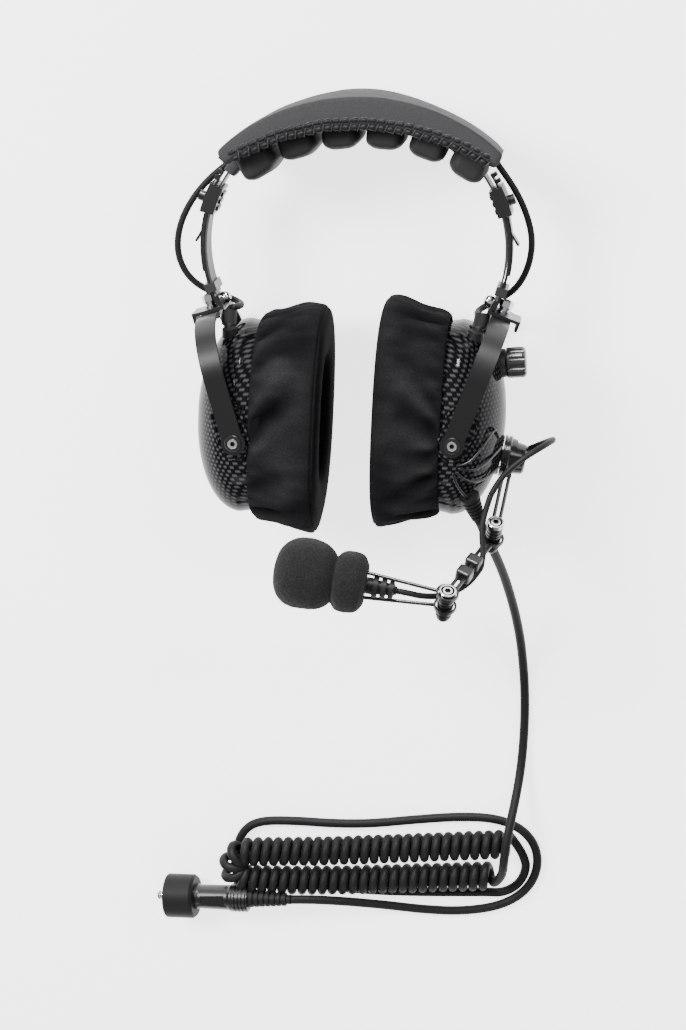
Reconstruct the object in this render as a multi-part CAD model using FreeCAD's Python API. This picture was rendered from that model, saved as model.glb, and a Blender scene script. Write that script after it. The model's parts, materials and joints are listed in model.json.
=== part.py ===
"""Aviation headset: sprung headband, two yoke-hung ear cups, mic boom and curly lead.

The set lies on its back on a table.  +Z is up from the table and is the wearer's forward
direction, +Y runs towards the top of the headband, and +X is the wearer's left, the side of the
mic boom.  Shapes are drawn in a drawing frame, with X = 0 on the headband's middle, Y = 0 at the
middle of the ear cups and heights either above the table or from the middle plane of the set,
and are moved to the part's own origin, the bottom centre of its box, when they are written.
Millimetres throughout.
"""
import FreeCAD, Part
import math
import os

V = FreeCAD.Vector
X_AXIS = V(1, 0, 0)
Y_AXIS = V(0, 1, 0)
Z_AXIS = V(0, 0, 1)
NOWHERE = V(0, 0, 0)

# ---------------------------------------------------------------- driving dimensions
ORIGIN = V(4.51, 37.81, 0.0)    # the part's origin in the drawing frame
MID_Z = 46.5                    # height of the set's middle plane above the table
GAP = 0.3                       # clearance between bodies that move past each other
SIDES = {"left": 1, "right": -1}

# headband
SIDE_ARC = (10.5, 84.0)         # centre of the band's side arc, on which the arm slides
SIDE_R = 62.0                   # inner radius of the spring band there
TOP_ARC_Y = 76.3                # height of the centre of the band's top arc
TOP_R = 75.0
SPRING_T = 1.0
BAND_W = 15.0                   # width of the spring band and of the arm
SPRING_END = -22.0              # degrees below the side arc's centre
COVER_SHIFT = 4.0               # the soft cover sits a little to the wearer's left
COVER_R = 96.8                  # outer arc of the cover
COVER_TOP = 160.4
COVER_UNDER_R = 122.5           # under edge of the cover
COVER_UNDER = 145.6
COVER_HALF = 66.0
COVER_BACK = -46.5              # the cover's back edge reaches the table
COVER_FRONT = 32.0
LEATHER = 1.6
PAD_COUNT = 6
PAD_ARC_Y = 45.9                # centre of the arc that the pads' faces lie on
PAD_FACE_R = 89.5
PAD_STEP = 12.7                 # degrees from pad to pad
PAD_SIZE = (18.8, 22.0, 52.0)

# slide arm
ARM_T = 1.3
ARM_TOP = 28.0
ARM_BOTTOM = -27.2
SLIDE_RANGE = 5.2               # degrees of extension about the side arc's centre

# yoke and ear cup, drawn for the side where X is outwards
PIVOT = (52.6, -4.7)
YOKE_ANGLE = 18.3               # the yoke leans outwards towards its top
YOKE_TOP = 57.0                 # from the pivots to the underside of the yoke's bridge
YOKE_W = 10.0
YOKE_T = 1.8
YOKE_HALF = 45.1                # outer face of a yoke leg from the middle plane
YOKE_CORNER = 26.0
PIVOT_SHANK_R = 1.9
PIVOT_HOLE_R = 1.95
BOSS_R = 2.3                    # raised middle of a pivot's cap disc
SWIVEL_SHANK_R = 2.0
SWIVEL_HOLE_R = 2.06
HANG_POINT = (68.0, 56.3)       # where the hanger meets the arm
HANG_LEAN = -2.4                # the cups hang a little askew of the headband, in degrees

DOME_RIM = 43.0                 # X of the dome's open edge
DOME_CREASE = 52.2              # X where the rim band turns into the bulge
DOME_CROWN = 76.1
DOME_HEIGHT = 47.7              # half height
DOME_WIDTH = 41.0               # half width
DOME_WALL = 2.2
OVAL_POWER = 2.4                # squareness of the cup's outline

PLATE_T = 3.0
EAR_HOLE = (31.0, 21.0)         # half sizes of the opening in the ear seal
CLOTH_T = 1.8

# boom, in the left cup
BOOM_AXIS = V(0.15, 0.857, 0.493)
SWIVEL_BASE = (71.6, -17.6)     # on the dome, drawing frame of the cup
SWIVEL_TIP = (87.0, -19.8)
ELBOW_1 = V(70.1, -49.1, 36.0)  # heights from the middle plane
ELBOW_2 = V(49.4, -74.2, 70.0)
MIC_CENTRE = V(-16.8, -62.1, 70.0)
MIC_AXIS = V(0.9866, -0.163, 0.0)
ROD_R = 0.9
STACK_R = 3.9
EYE_R = 4.5                     # inner radius of the wire eyes round the elbow stacks

# volume knob, in the left cup
KNOB_BASE = (72.0, 27.9)
KNOB_TIP = (84.3, 29.4)
FLUTES = 11

# cords
LEAD_D = 4.8
COIL_D = 16.0
MIC_CABLE_D = 3.0
CROSS_CABLE_D = 3.3
WIRE_D = 1.3

# plug
PLUG_AT = V(-97.4, -274.0, 12.75)   # middle of the shroud, whose rim rests on the table
PLUG_ALONG = V(1.0, 0.058, 0.12)    # towards the cord; the relief lies on the coil
SHROUD_R = 11.75
SHAFT_R = 3.55
RELIEF_END = -37.0

# ---------------------------------------------------------------- cord routes, in mm
# x, y from the drawing frame and z above the table
LEAD_ROUTE = [
    (62.7, -44.5, 74.5), (65.8, -53.6, 69.0), (69.0, -63.0, 60.5), (73.8, -79.5, 44.5),
    (78.7, -102.5, 26.0), (81.9, -123.4, 12.5), (83.4, -140.4, 5.0), (84.4, -155.0, 2.5),
    (84.6, -171.6, 2.5), (83.9, -188.0, 2.5), (82.6, -201.5, 5.5), (80.7, -212.5, 12.0),
    (78.6, -222.5, 18.4), (76.8, -232.5, 22.6), (75.6, -243.0, 22.6), (75.0, -250.8, 18.4),
    (74.8, -256.6, 14.0),
]
COIL_ROUTE_LOWER = [(75.6, -256.6, 8.2), (20.0, -260.8, 8.2), (-18.0, -262.6, 10.6), (-60.0, -262.8, 13.6)]
COIL_ROUTE_UPPER = [(-60.0, -246.6, 13.6), (-38.0, -246.6, 11.2), (-8.0, -246.0, 8.2), (79.0, -238.6, 8.2)]
TAIL_ROUTE = [
    (75.5, -235.2, 3.6), (82.2, -240.8, 2.45), (86.6, -248.3, 2.45), (86.6, -257.0, 2.45),
    (82.2, -264.5, 2.45), (74.7, -268.9, 2.45), (66.0, -268.9, 2.45), (52.0, -269.6, 2.45),
    (32.0, -270.4, 2.45), (10.0, -270.8, 2.45), (-8.0, -270.2, 2.45), (-24.0, -268.6, 2.45),
    (-40.0, -266.9, 2.45), (-57.0, -266.2, 2.45), (-65.7, -259.9, 2.45), (-69.0, -249.7, 2.45),
    (-65.7, -239.5, 2.45), (-57.0, -233.2, 2.45), (-38.0, -232.4, 2.45), (-16.4, -233.2, 2.45),
    (4.0, -232.4, 2.45), (26.6, -229.2, 2.45), (51.0, -226.4, 2.45), (70.5, -226.6, 2.45),
    (84.5, -232.0, 2.45), (92.4, -242.5, 2.45), (93.0, -256.0, 2.45), (86.4, -268.2, 2.45),
    (73.4, -276.6, 2.45), (53.3, -280.6, 2.45), (32.0, -280.4, 2.6), (14.0, -277.6, 5.6),
    (-1.0, -274.4, 11.0), (-14.0, -271.8, 16.0), (-26.0, -270.4, 18.9), (-37.6, -270.5, 19.9),
]
CROSS_ROUTES = {
    "right": [(-57.5, 127.2, 38.5), (-66.0, 121.4, 38.5), (-74.6, 113.4, 38.5), (-82.0, 103.0, 38.5),
              (-86.8, 91.0, 38.5), (-88.0, 79.0, 38.0), (-84.0, 68.6, 37.2), (-77.4, 61.4, 35.8),
              (-70.0, 57.4, 33.6), (-62.8, 55.0, 33.6), (-58.0, 53.6, 38.4), (-57.6, 53.4, 45.4),
              (-60.6, 53.8, 51.0)],
    "left": [(65.0, 127.0, 38.5), (72.0, 117.8, 38.5), (78.0, 108.4, 38.5), (82.4, 98.4, 38.5),
             (84.8, 88.2, 38.0), (84.2, 78.4, 37.4), (81.4, 69.6, 36.4), (76.8, 62.4, 34.8),
             (70.4, 57.6, 32.6), (63.6, 54.4, 33.2), (59.0, 52.2, 38.2), (58.8, 51.0, 45.2),
             (61.8, 50.4, 50.8)],
}
MIC_LOOP_ROUTE = [
    (66.0, -24.4, 33.0), (72.4, -23.6, 30.6), (79.2, -21.2, 30.2), (86.0, -17.6, 32.4),
    (92.0, -13.8, 37.6), (96.2, -10.4, 45.4), (97.1, -8.0, 54.6), (95.8, -7.6, 63.2),
    (91.0, -9.2, 70.0), (84.4, -12.6, 74.4), (77.6, -17.6, 77.5), (72.0, -23.4, 80.0),
    (68.4, -30.0, 82.4),
]
MIC_MID_ROUTE = [
    (68.4, -30.0, 82.4), (66.2, -36.6, 84.4), (64.8, -43.2, 87.2), (64.9, -50.0, 89.4), (66.0, -56.6, 91.6),
    (64.8, -62.6, 95.0),
]
MIC_TIP_ROUTE = [
    (64.8, -62.6, 95.0), (61.2, -67.6, 99.2), (55.6, -71.2, 103.2), (49.4, -73.0, 107.2),
    (43.2, -73.0, 111.4), (37.0, -71.8, 114.8), (31.4, -70.1, 116.4), (26.2, -69.2, 116.5),
]
SIGNAL_WIRES = [
    [(52.0, -14.4, 88.2), (56.5, -14.2, 88.0), (61.8, -9.6, 84.0), (66.6, -3.4, 76.5),
     (70.4, 0.6, 66.0), (72.6, -3.2, 56.0)],
    [(53.0, -15.8, 88.6), (57.6, -17.2, 87.0), (63.2, -17.0, 81.0), (68.4, -13.8, 72.0),
     (72.4, -11.0, 61.0)],
    [(52.0, -17.4, 88.8), (55.2, -21.4, 87.0), (60.4, -24.2, 81.6), (66.4, -23.6, 73.0),
     (71.6, -20.6, 62.0)],
    [(50.6, -17.8, 89.0), (51.6, -23.0, 87.6), (54.6, -28.4, 84.6), (57.6, -32.6, 81.4)],
]


# ---------------------------------------------------------------- helpers
def polar(radius, degrees, centre=SIDE_ARC):
    """A point in the plane of the headband, from the centre of an arc."""
    angle = math.radians(degrees)
    return V(centre[0] + radius * math.cos(angle), centre[1] + radius * math.sin(angle), 0)


def box(low, high):
    return Part.makeBox(high[0] - low[0], high[1] - low[1], high[2] - low[2], V(*low))


def cylinder(start, end, radius):
    along = end - start
    return Part.makeCylinder(radius, along.Length, start, along)


def ring(start, end, outer, inner):
    along = end - start
    beyond = along * (1.0 / along.Length)
    return cylinder(start, end, outer).cut(cylinder(start - beyond, end + beyond, inner))


def cone(start, end, r_start, r_end):
    along = end - start
    return Part.makeCone(r_start, r_end, along.Length, start, along)


def arc_strip(r_in, r_out, low, high, half_width, centre=SIDE_ARC):
    """A curved strip between two radii and two angles, half_width each side of the middle plane."""
    middle = (low + high) / 2
    edges = [
        Part.Arc(polar(r_in, low, centre), polar(r_in, middle, centre), polar(r_in, high, centre)).toShape(),
        Part.makeLine(polar(r_in, high, centre), polar(r_out, high, centre)),
        Part.Arc(polar(r_out, high, centre), polar(r_out, middle, centre), polar(r_out, low, centre)).toShape(),
        Part.makeLine(polar(r_out, low, centre), polar(r_in, low, centre)),
    ]
    face = Part.Face(Part.Wire(edges))
    face.translate(V(0, 0, -half_width))
    return face.extrude(V(0, 0, 2 * half_width))


def oval(x, half_height, half_width, middle_y=0.0, power=OVAL_POWER, count=28):
    """A closed superellipse across X."""
    points = []
    for step in range(count):
        angle = 2 * math.pi * step / count
        c, s = math.cos(angle), math.sin(angle)
        y = half_height * math.copysign(abs(c) ** (2 / power), c)
        z = half_width * math.copysign(abs(s) ** (2 / power), s)
        points.append(V(x, middle_y + y, z))
    curve = Part.BSplineCurve()
    curve.interpolate(Points=points, PeriodicFlag=True)
    return Part.Wire([curve.toShape()])


def loft(sections, middle_y=0.0, ruled=False):
    return Part.makeLoft([oval(x, h, w, middle_y) for x, h, w in sections], True, ruled)


def oval_bore(x_low, x_high, half_height, half_width, middle_y=0.0):
    return loft([(x_low, half_height, half_width), (x_high, half_height, half_width)], middle_y, True)


def soften(shape, radius, wanted):
    """Round the edges for which wanted(edge) holds."""
    return shape.makeFillet(radius, [edge for edge in shape.Edges if wanted(edge)])


def turned(profile, start, along):
    """A solid of revolution: profile is a closed list of (distance along, radius) or arc triples."""
    edges = []
    here = profile[0]
    for item in profile[1:]:
        if len(item) == 2:
            edges.append(Part.makeLine(V(here[0], here[1], 0), V(item[0], item[1], 0)))
            here = item
        else:
            middle, end = item[:2], item[2:]
            edges.append(Part.Arc(V(*here, 0), V(*middle, 0), V(*end, 0)).toShape())
            here = end
    solid = Part.Face(Part.Wire(edges)).revolve(NOWHERE, X_AXIS, 360)
    turn = FreeCAD.Rotation(X_AXIS, along)
    solid.Placement = FreeCAD.Placement(start, turn)
    return Part.Solid(solid) if solid.ShapeType != "Solid" else solid


def route_path(points):
    """Straight runs joined by tangent arcs, each as large as its two runs allow."""
    spots = [V(*point) for point in points]
    edges = []
    radii = []
    here = spots[0]
    for before, corner, after in zip(spots, spots[1:], spots[2:]):
        back = before - corner
        ahead = after - corner
        trim = 0.45 * min(back.Length, ahead.Length)
        half_turn = (math.pi - back.getAngle(ahead)) / 2
        radii.append(trim / math.tan(half_turn))
        back.normalize()
        ahead.normalize()
        enter = corner + back * trim
        leave = corner + ahead * trim
        to_middle = back + ahead
        to_middle.normalize()
        radius = radii[-1]
        middle = corner + to_middle * (radius / math.cos(half_turn) - radius)
        edges.append(Part.LineSegment(here, enter).toShape())
        edges.append(Part.Arc(enter, middle, leave).toShape())
        here = leave
    edges.append(Part.LineSegment(here, spots[-1]).toShape())
    return Part.Wire(edges), radii


def cord_tube(name, points, diameter):
    path, radii = route_path(points)
    start = V(*points[0])
    heading = V(*points[1]) - start
    circle = Part.Circle(start, heading, diameter / 2)
    solid = path.makePipeShell([Part.Wire([circle.toShape()])], True, False)
    section = math.pi * diameter ** 2 / 4
    print(f"{name}: length {path.Length:.1f}, smallest radius {min(radii):.1f} = "
          f"{min(radii) / diameter:.1f} diameters, volume/section*length "
          f"{solid.Volume / (section * path.Length):.4f}")
    return solid


def fuse(shapes):
    return shapes[0].fuse(shapes[1:]).removeSplitter() if len(shapes) > 1 else shapes[0]


# ---------------------------------------------------------------- placing
def to_side(shape, sign):
    """Move a piece drawn for +X to its side of the set."""
    return shape if sign > 0 else shape.mirror(NOWHERE, X_AXIS)


def hang(shape, sign):
    """Place a piece of the hanger, yoke or cup: mirrored, then leaned about its hanging point."""
    placed = to_side(shape, sign).copy()
    placed.rotate(V(sign * HANG_POINT[0], HANG_POINT[1], 0), Z_AXIS, HANG_LEAN)
    return placed


def on_yoke(shape):
    """From the yoke's own frame, w up from the pivots, to the drawing frame."""
    placed = shape.copy()
    placed.rotate(NOWHERE, Z_AXIS, -YOKE_ANGLE)
    placed.translate(V(*PIVOT, 0))
    return placed


def lowered(shape):
    """From heights above the table to heights from the middle plane."""
    placed = shape.copy()
    placed.translate(V(0, 0, -MID_Z))
    return placed


def leaned(point):
    """A left cup's point, in the drawing frame of the cup, where it really is."""
    vertex = hang(Part.Vertex(point), 1)
    return vertex.Point


PARTS = {}


def keep(name, shape, from_table=False):
    """Note a piece under its name, at the part's own origin."""
    placed = shape.copy()
    placed.translate(V(0, 0, 0 if from_table else MID_Z) - ORIGIN)
    PARTS[name] = placed


# ---------------------------------------------------------------- headband
def spring_path(offset):
    """Half outline of the band, from its end up to the top, at an offset from its inner face."""
    junction = math.degrees(math.atan2(SIDE_ARC[1] - TOP_ARC_Y, SIDE_ARC[0]))
    top_centre = (0.0, TOP_ARC_Y)
    join = polar(SIDE_R + offset, junction)
    crown_r = join.sub(V(0, TOP_ARC_Y, 0)).Length
    return junction, top_centre, crown_r


def headband_spring():
    junction, top_centre, crown_r = spring_path(0.0)
    pieces = [arc_strip(crown_r, crown_r + SPRING_T, junction, 180 - junction, BAND_W / 2, top_centre)]
    for sign in (1, -1):
        side = arc_strip(SIDE_R, SIDE_R + SPRING_T, SPRING_END, junction, BAND_W / 2)
        pieces.append(to_side(side, sign))
    return fuse(pieces)


def cover_profile(inset):
    """The cover in front view: an outer arc, two blunt ends and a flatter under arc."""
    outer_r = COVER_R - inset
    under_r = COVER_UNDER_R + inset
    half = COVER_HALF - inset
    outer_y = COVER_TOP - COVER_R
    under_y = COVER_UNDER - COVER_UNDER_R

    def outer_at(x):
        return V(COVER_SHIFT + x, outer_y + math.sqrt(outer_r ** 2 - x ** 2), 0)

    def under_at(x):
        return V(COVER_SHIFT + x, under_y + math.sqrt(under_r ** 2 - x ** 2), 0)

    edges = [
        Part.Arc(outer_at(-half), outer_at(0), outer_at(half)).toShape(),
        Part.makeLine(outer_at(half), under_at(half)),
        Part.Arc(under_at(half), under_at(0), under_at(-half)).toShape(),
        Part.makeLine(under_at(-half), outer_at(-half)),
    ]
    return Part.Face(Part.Wire(edges))


def spring_wrap(grow):
    """The tongue of leather round the spring band, down to the cover's two tabs."""
    _, top_centre, crown_r = spring_path(0.0)
    low = 35.4
    return arc_strip(crown_r - 3.2 - grow, crown_r + SPRING_T + 2.4 + grow, low, 180 - low, 10.5 + grow, top_centre)


def band_slot():
    _, top_centre, crown_r = spring_path(0.0)
    return arc_strip(crown_r - 0.1, crown_r + SPRING_T + 0.1, 20, 160, BAND_W / 2 + 0.1, top_centre)


def head_cover():
    """The leather cover, hollow for its foam, with the tongue that holds the band."""
    profile = cover_profile(0.0)
    profile.translate(V(0, 0, COVER_BACK))
    body = profile.extrude(V(0, 0, COVER_FRONT - COVER_BACK))
    body = soften(body, 2.8, lambda edge: edge.Length > 100)
    skin = body.fuse(spring_wrap(0.0))
    return skin.cut(head_foam_block()).cut(band_slot())


def head_foam_block():
    profile = cover_profile(LEATHER)
    profile.translate(V(0, 0, COVER_BACK + LEATHER))
    block = profile.extrude(V(0, 0, COVER_FRONT - COVER_BACK - 2 * LEATHER))
    return soften(block, 1.2, lambda edge: edge.Length > 100)


def head_pads():
    """Six crowned pads sewn to the under side of the cover."""
    wide, deep, long = PAD_SIZE
    profile = cover_profile(0.0)
    profile.translate(V(0, 0, COVER_BACK))
    above = profile.extrude(V(0, 0, COVER_FRONT - COVER_BACK)).fuse(spring_wrap(0.1))
    middle_z = (COVER_BACK + COVER_FRONT) / 2 + 3.0
    pads = []
    for index in range(PAD_COUNT):
        angle = (index - (PAD_COUNT - 1) / 2) * PAD_STEP
        block = box((-wide / 2, 0, middle_z - long / 2), (wide / 2, deep, middle_z + long / 2))
        block = soften(block, 5.5, lambda edge: edge.BoundBox.YMin < 1.0)
        block.translate(V(0, PAD_FACE_R, 0))
        block.rotate(NOWHERE, Z_AXIS, -angle)
        block.translate(V(COVER_SHIFT, PAD_ARC_Y, 0))
        pads.append(largest(block.cut(above)))
    return Part.makeCompound(pads)


def largest(shape):
    return max(shape.Solids, key=lambda solid: solid.Volume)


def spring_sleeves():
    """Black loops at the spring band's ends, which the arms slide through."""
    half_open = BAND_W / 2 + GAP
    loops = []
    for sign in (1, -1):
        outer = arc_strip(SIDE_R - 1.2, SIDE_R + 4.4, -20.4, -16.4, half_open + 1.4)
        opening = arc_strip(SIDE_R, SIDE_R + SPRING_T + GAP + ARM_T + GAP, -25, -12, half_open)
        loops.append(to_side(outer.cut(opening), sign))
    return Part.makeCompound(loops)


# ---------------------------------------------------------------- slide arm and hanger
def slide_arm():
    """Black steel strip outside the spring band, doubled in its upper part, with a finger tab."""
    inner = SIDE_R + SPRING_T + GAP
    strip = arc_strip(inner, inner + ARM_T, ARM_BOTTOM, ARM_TOP, BAND_W / 2)
    doubler = arc_strip(inner + ARM_T, inner + ARM_T + 0.9, -11.0, 14.0, BAND_W / 2 - 1.5)
    foot = polar(inner + ARM_T + 0.5, 6.5)
    tip = foot + V(3.4, -5.4, 0)
    across = V(0.85, 0.53, 0) * 0.55
    tab = Part.Face(Part.makePolygon([foot - across, tip - across, tip + across, foot + across, foot - across]))
    tab.translate(V(0, 0, -4))
    return fuse([strip, doubler, tab.extrude(V(0, 0, 8))])


def slide_clamp():
    """The clamp block at the arm's upper end, its ribs and its cross screw."""
    half_open = BAND_W / 2 + GAP
    outer = arc_strip(SIDE_R - 1.6, SIDE_R + 5.3, 15.0, 27.6, half_open + 2.2)
    opening = arc_strip(SIDE_R - GAP, SIDE_R + SPRING_T + GAP + ARM_T, 10, 35, half_open)
    block = outer.cut(opening)
    ribs = [arc_strip(SIDE_R - 2.6, SIDE_R - 1.5, low, low + 2.0, 5.0) for low in (16.5, 20.0, 23.5)]
    rail = arc_strip(SIDE_R + SPRING_T + GAP + ARM_T + 0.05, SIDE_R + 3.6, 27.0, 33.6, 3.4)
    teeth = [arc_strip(SIDE_R + 3.5, SIDE_R + 5.6, low, low + 1.6, 3.4) for low in (28.9, 31.8)]
    body = fuse([block] + ribs + [rail] + teeth)
    shank_low = polar(SIDE_R + 4.0, 20.6)
    seat = polar(SIDE_R + 5.35, 20.6)
    top = polar(SIDE_R + 8.4, 20.6)
    lift = V(0, 0, 3.2)
    hole = cylinder(shank_low + lift, top + lift, 1.5)
    screw = fuse([cylinder(seat + lift, top + lift, 2.6), cylinder(shank_low + lift, top + lift, 1.5)])
    socket = cylinder(polar(SIDE_R + 7.0, 20.6) + lift, polar(SIDE_R + 9.0, 20.6) + lift, 1.2)
    return Part.makeCompound([body.cut(hole), screw.cut(socket)])


def hanger_bracket():
    """L plate on the arm's end: a leg on the band side and a plate with a stop hook over the yoke."""
    plate_low = YOKE_TOP + YOKE_T + GAP
    plate = box((-7.4, plate_low, -9), (9.0, plate_low + 1.6, 9))
    hook = box((8.0, plate_low - 4.2, -6), (9.6, plate_low + 1.6, 6))
    hook = soften(hook, 0.7, lambda edge: abs(edge.BoundBox.YLength) < 0.01 and edge.BoundBox.ZLength > 5)
    lower = on_yoke(fuse([plate, hook]).cut(
        cylinder(V(0, plate_low - 2, 0), V(0, plate_low + 4, 0), SWIVEL_SHANK_R)))
    inner = SIDE_R + SPRING_T + GAP
    leg = arc_strip(inner - 1.6, inner - 0.05, -28.0, -23.0, BAND_W / 2)
    return fuse([lower, leg])


def hanger_hardware():
    """Swivel bolt with its washers and nut, and the domed nut that holds the bracket to the arm."""
    plate_top = YOKE_TOP + YOKE_T + GAP + 1.6
    bolt = turned([(YOKE_TOP - 2.4, 0), (YOKE_TOP - 2.4, 3.1), (YOKE_TOP - GAP, 3.5), (YOKE_TOP - GAP, SWIVEL_SHANK_R),
                   (plate_top + 6.6, SWIVEL_SHANK_R), (plate_top + 6.6, 0), (YOKE_TOP - 2.4, 0)], NOWHERE, Y_AXIS)
    stack = []
    for level, thick, radius in ((0.0, 0.9, 3.1), (1.05, 1.1, 2.7), (2.3, 0.9, 3.2)):
        stack.append(ring(V(0, plate_top + level, 0), V(0, plate_top + level + thick, 0), radius, SWIVEL_SHANK_R))
    nut = hexagon(V(0, plate_top + 3.35, 0), Y_AXIS, 3.1, 2.9)
    stack.append(nut.cut(cylinder(V(0, plate_top, 0), V(0, plate_top + 9, 0), SWIVEL_SHANK_R)))
    pieces = [on_yoke(shape) for shape in [bolt] + stack]
    face = polar(SIDE_R + SPRING_T + GAP - 1.62, -25.4)
    inwards = polar(0, 0) - polar(1, -25.4)
    dome = turned([(0, 0), (0, 2.9), (1.9, 2.9), (3.5, 2.3, 4.2, 0.8), (4.3, 0), (0, 0)], face, inwards)
    return Part.makeCompound(pieces + [dome])


def hexagon(start, along, across_flats_half, thick):
    corner_r = across_flats_half / math.cos(math.radians(30))
    corners = [V(corner_r * math.cos(math.radians(60 * k)), corner_r * math.sin(math.radians(60 * k)), 0)
               for k in range(7)]
    prism = Part.Face(Part.makePolygon(corners)).extrude(V(0, 0, thick))
    prism.Placement = FreeCAD.Placement(start, FreeCAD.Rotation(Z_AXIS, along))
    return prism


# ---------------------------------------------------------------- yoke
def yoke():
    """A flat steel strap bent to a U round the cup, with an eye at each end."""
    half = YOKE_W / 2
    inner_half = YOKE_HALF - YOKE_T
    outer = box((-half, 0, -YOKE_HALF), (half, YOKE_TOP + YOKE_T, YOKE_HALF))
    inner = box((-half - 1, -20, -inner_half), (half + 1, YOKE_TOP, inner_half))

    def top_corner(edge):
        bounds = edge.BoundBox
        return bounds.XLength > 1 and bounds.YMin > YOKE_TOP - 1 and bounds.YLength < 0.01

    strap = soften(outer, YOKE_CORNER, top_corner).cut(soften(inner, YOKE_CORNER - YOKE_T, top_corner))
    eyes = [cylinder(V(0, 0, sign * inner_half), V(0, 0, sign * YOKE_HALF), half + 0.9) for sign in (1, -1)]
    bent = fuse([strap] + eyes)
    pivot_hole = cylinder(V(0, 0, -60), V(0, 0, 60), PIVOT_HOLE_R)
    swivel_hole = cylinder(V(0, YOKE_TOP - 5, 0), V(0, YOKE_TOP + 9, 0), SWIVEL_HOLE_R)
    return on_yoke(bent.cut(pivot_hole).cut(swivel_hole))


# ---------------------------------------------------------------- ear cup
def dome_solid(shrink):
    """The outer or inner form of the dome: a rim band and an elliptic bulge."""
    height, width = DOME_HEIGHT - shrink, DOME_WIDTH - shrink
    start = DOME_RIM - (1.0 if shrink else 0.0)
    band = loft([(start, height - 1.7, width - 1.5), (DOME_CREASE, height, width)], ruled=True)
    depth = DOME_CROWN - DOME_CREASE - shrink
    sections = []
    for rho in (1.0, 0.965, 0.88, 0.75, 0.58, 0.38, 0.18, 0.06):
        x = DOME_CREASE + depth * math.sqrt(1 - rho ** 2)
        sections.append((x, height * rho, width * rho))
    return fuse([band, loft(sections)])


def pivot_pad(sign, low, high, radius):
    """A rounded slot on the dome round a pivot, running up under the yoke leg."""
    run = 13.0
    angle = math.radians(YOKE_ANGLE)
    start = V(PIVOT[0] - 1.2 * math.sin(angle), PIVOT[1] - 1.2, 0)
    end = V(PIVOT[0] + run * math.sin(angle), PIVOT[1] + run * math.cos(angle), 0)
    thick = V(0, 0, sign * (high - low))
    base = V(0, 0, sign * low)
    ends = [Part.makeCylinder(radius, high - low, spot + base, V(0, 0, sign)) for spot in (start, end)]
    along = end - start
    along.normalize()
    across = V(-along.y, along.x, 0) * radius
    bar = Part.Face(Part.makePolygon([start - across, end - across, end + across, start + across, start - across]))
    bar.translate(base)
    return fuse(ends + [bar.extrude(thick)])


def dome(sign):
    """Glossy composite shell with pivot pads; the left one carries the knob and boom openings."""
    solid = dome_solid(0.0)
    for face in (1, -1):
        solid = solid.fuse(pivot_pad(face, 34.0, 42.2, 7.6))
    shell = solid.cut(dome_solid(DOME_WALL))
    for face in (1, -1):
        shell = shell.cut(pivot_pad(face, 41.5, 43.0, 6.6))
        shell = shell.cut(Part.makeCylinder(PIVOT_SHANK_R, 30, V(*PIVOT, face * 30), V(0, 0, face)))
    if sign > 0:
        for base, tip, radius in ((KNOB_BASE, KNOB_TIP, 3.1), (SWIVEL_BASE, SWIVEL_TIP, 3.6)):
            start, end = V(*base, 0), V(*tip, 0)
            along = (end - start).normalize()
            shell = shell.cut(cylinder(start - along * 6, end, radius))
    return shell


def pivot_screws():
    """Cap disc with its raised socket boss, and washer, of each of the yoke's two pivots."""
    pieces = []
    inner_half = YOKE_HALF - YOKE_T
    for sign in (1, -1):
        up = V(0, 0, sign)
        centre = V(*PIVOT, 0)
        profile = [(36.0, 0), (36.0, PIVOT_SHANK_R), (YOKE_HALF + 0.2, PIVOT_SHANK_R), (YOKE_HALF + 0.2, 4.0),
                   (MID_Z - 0.8, 4.0), (MID_Z - 0.6, 3.8), (MID_Z - 0.6, BOSS_R + 0.1), (MID_Z - 0.1, BOSS_R),
                   (MID_Z, BOSS_R - 0.1), (MID_Z, 0), (36.0, 0)]
        socket = hexagon(centre + up * (MID_Z - 1.1), up, 1.1, 2)
        pieces.append(turned(profile, centre, up).cut(socket))
        pieces.append(ring(centre + up * 41.5, centre + up * (inner_half - 0.2), 5.2, PIVOT_SHANK_R))
    return Part.makeCompound(pieces)


def baffle():
    """The plate between the dome and the ear seal, with its ring of sound holes."""
    low = DOME_RIM - PLATE_T - 0.1
    plate = oval_bore(low, DOME_RIM - 0.1, DOME_HEIGHT - 1.2, DOME_WIDTH - 0.9)
    holes = [Part.makeCylinder(2.0, 2 * PLATE_T, V(low - 1, 0, 0), X_AXIS)]
    for count, radius in ((6, 7.0), (12, 13.5)):
        for step in range(count):
            angle = 2 * math.pi * step / count
            holes.append(Part.makeCylinder(2.0, 2 * PLATE_T,
                                           V(low - 1, radius * math.cos(angle), radius * math.sin(angle)), X_AXIS))
    return plate.cut(Part.makeCompound(holes))


def speaker():
    return turned([(0, 0), (0, 19.5), (3.0, 19.5), (3.0, 15.0), (8.0, 13.5), (8.0, 0), (0, 0)],
                  V(DOME_RIM + 0.1, 0, 0), X_AXIS)


def foam_liner():
    return oval_bore(DOME_RIM - PLATE_T - 3.2, DOME_RIM - PLATE_T - 0.3, EAR_HOLE[0] - 2.2, EAR_HOLE[1] - 2.2)


def seal_sections(grow):
    """The padded ring's outline from the baffle to its face."""
    plan = ((39.8, 49.2, 42.0), (32.0, 51.6, 42.6), (24.0, 53.4, 43.0), (18.0, 52.4, 42.2),
            (15.6, 49.6, 39.6), (14.7, 45.6, 35.6))
    return [(x - (grow if index == len(plan) - 1 else 0), h + grow, w + grow) for index, (x, h, w) in enumerate(plan)]


def ear_seal():
    ring_solid = loft(seal_sections(0.0), 0.8)
    return ring_solid.cut(oval_bore(10, 45, *EAR_HOLE, 0.8))


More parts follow.
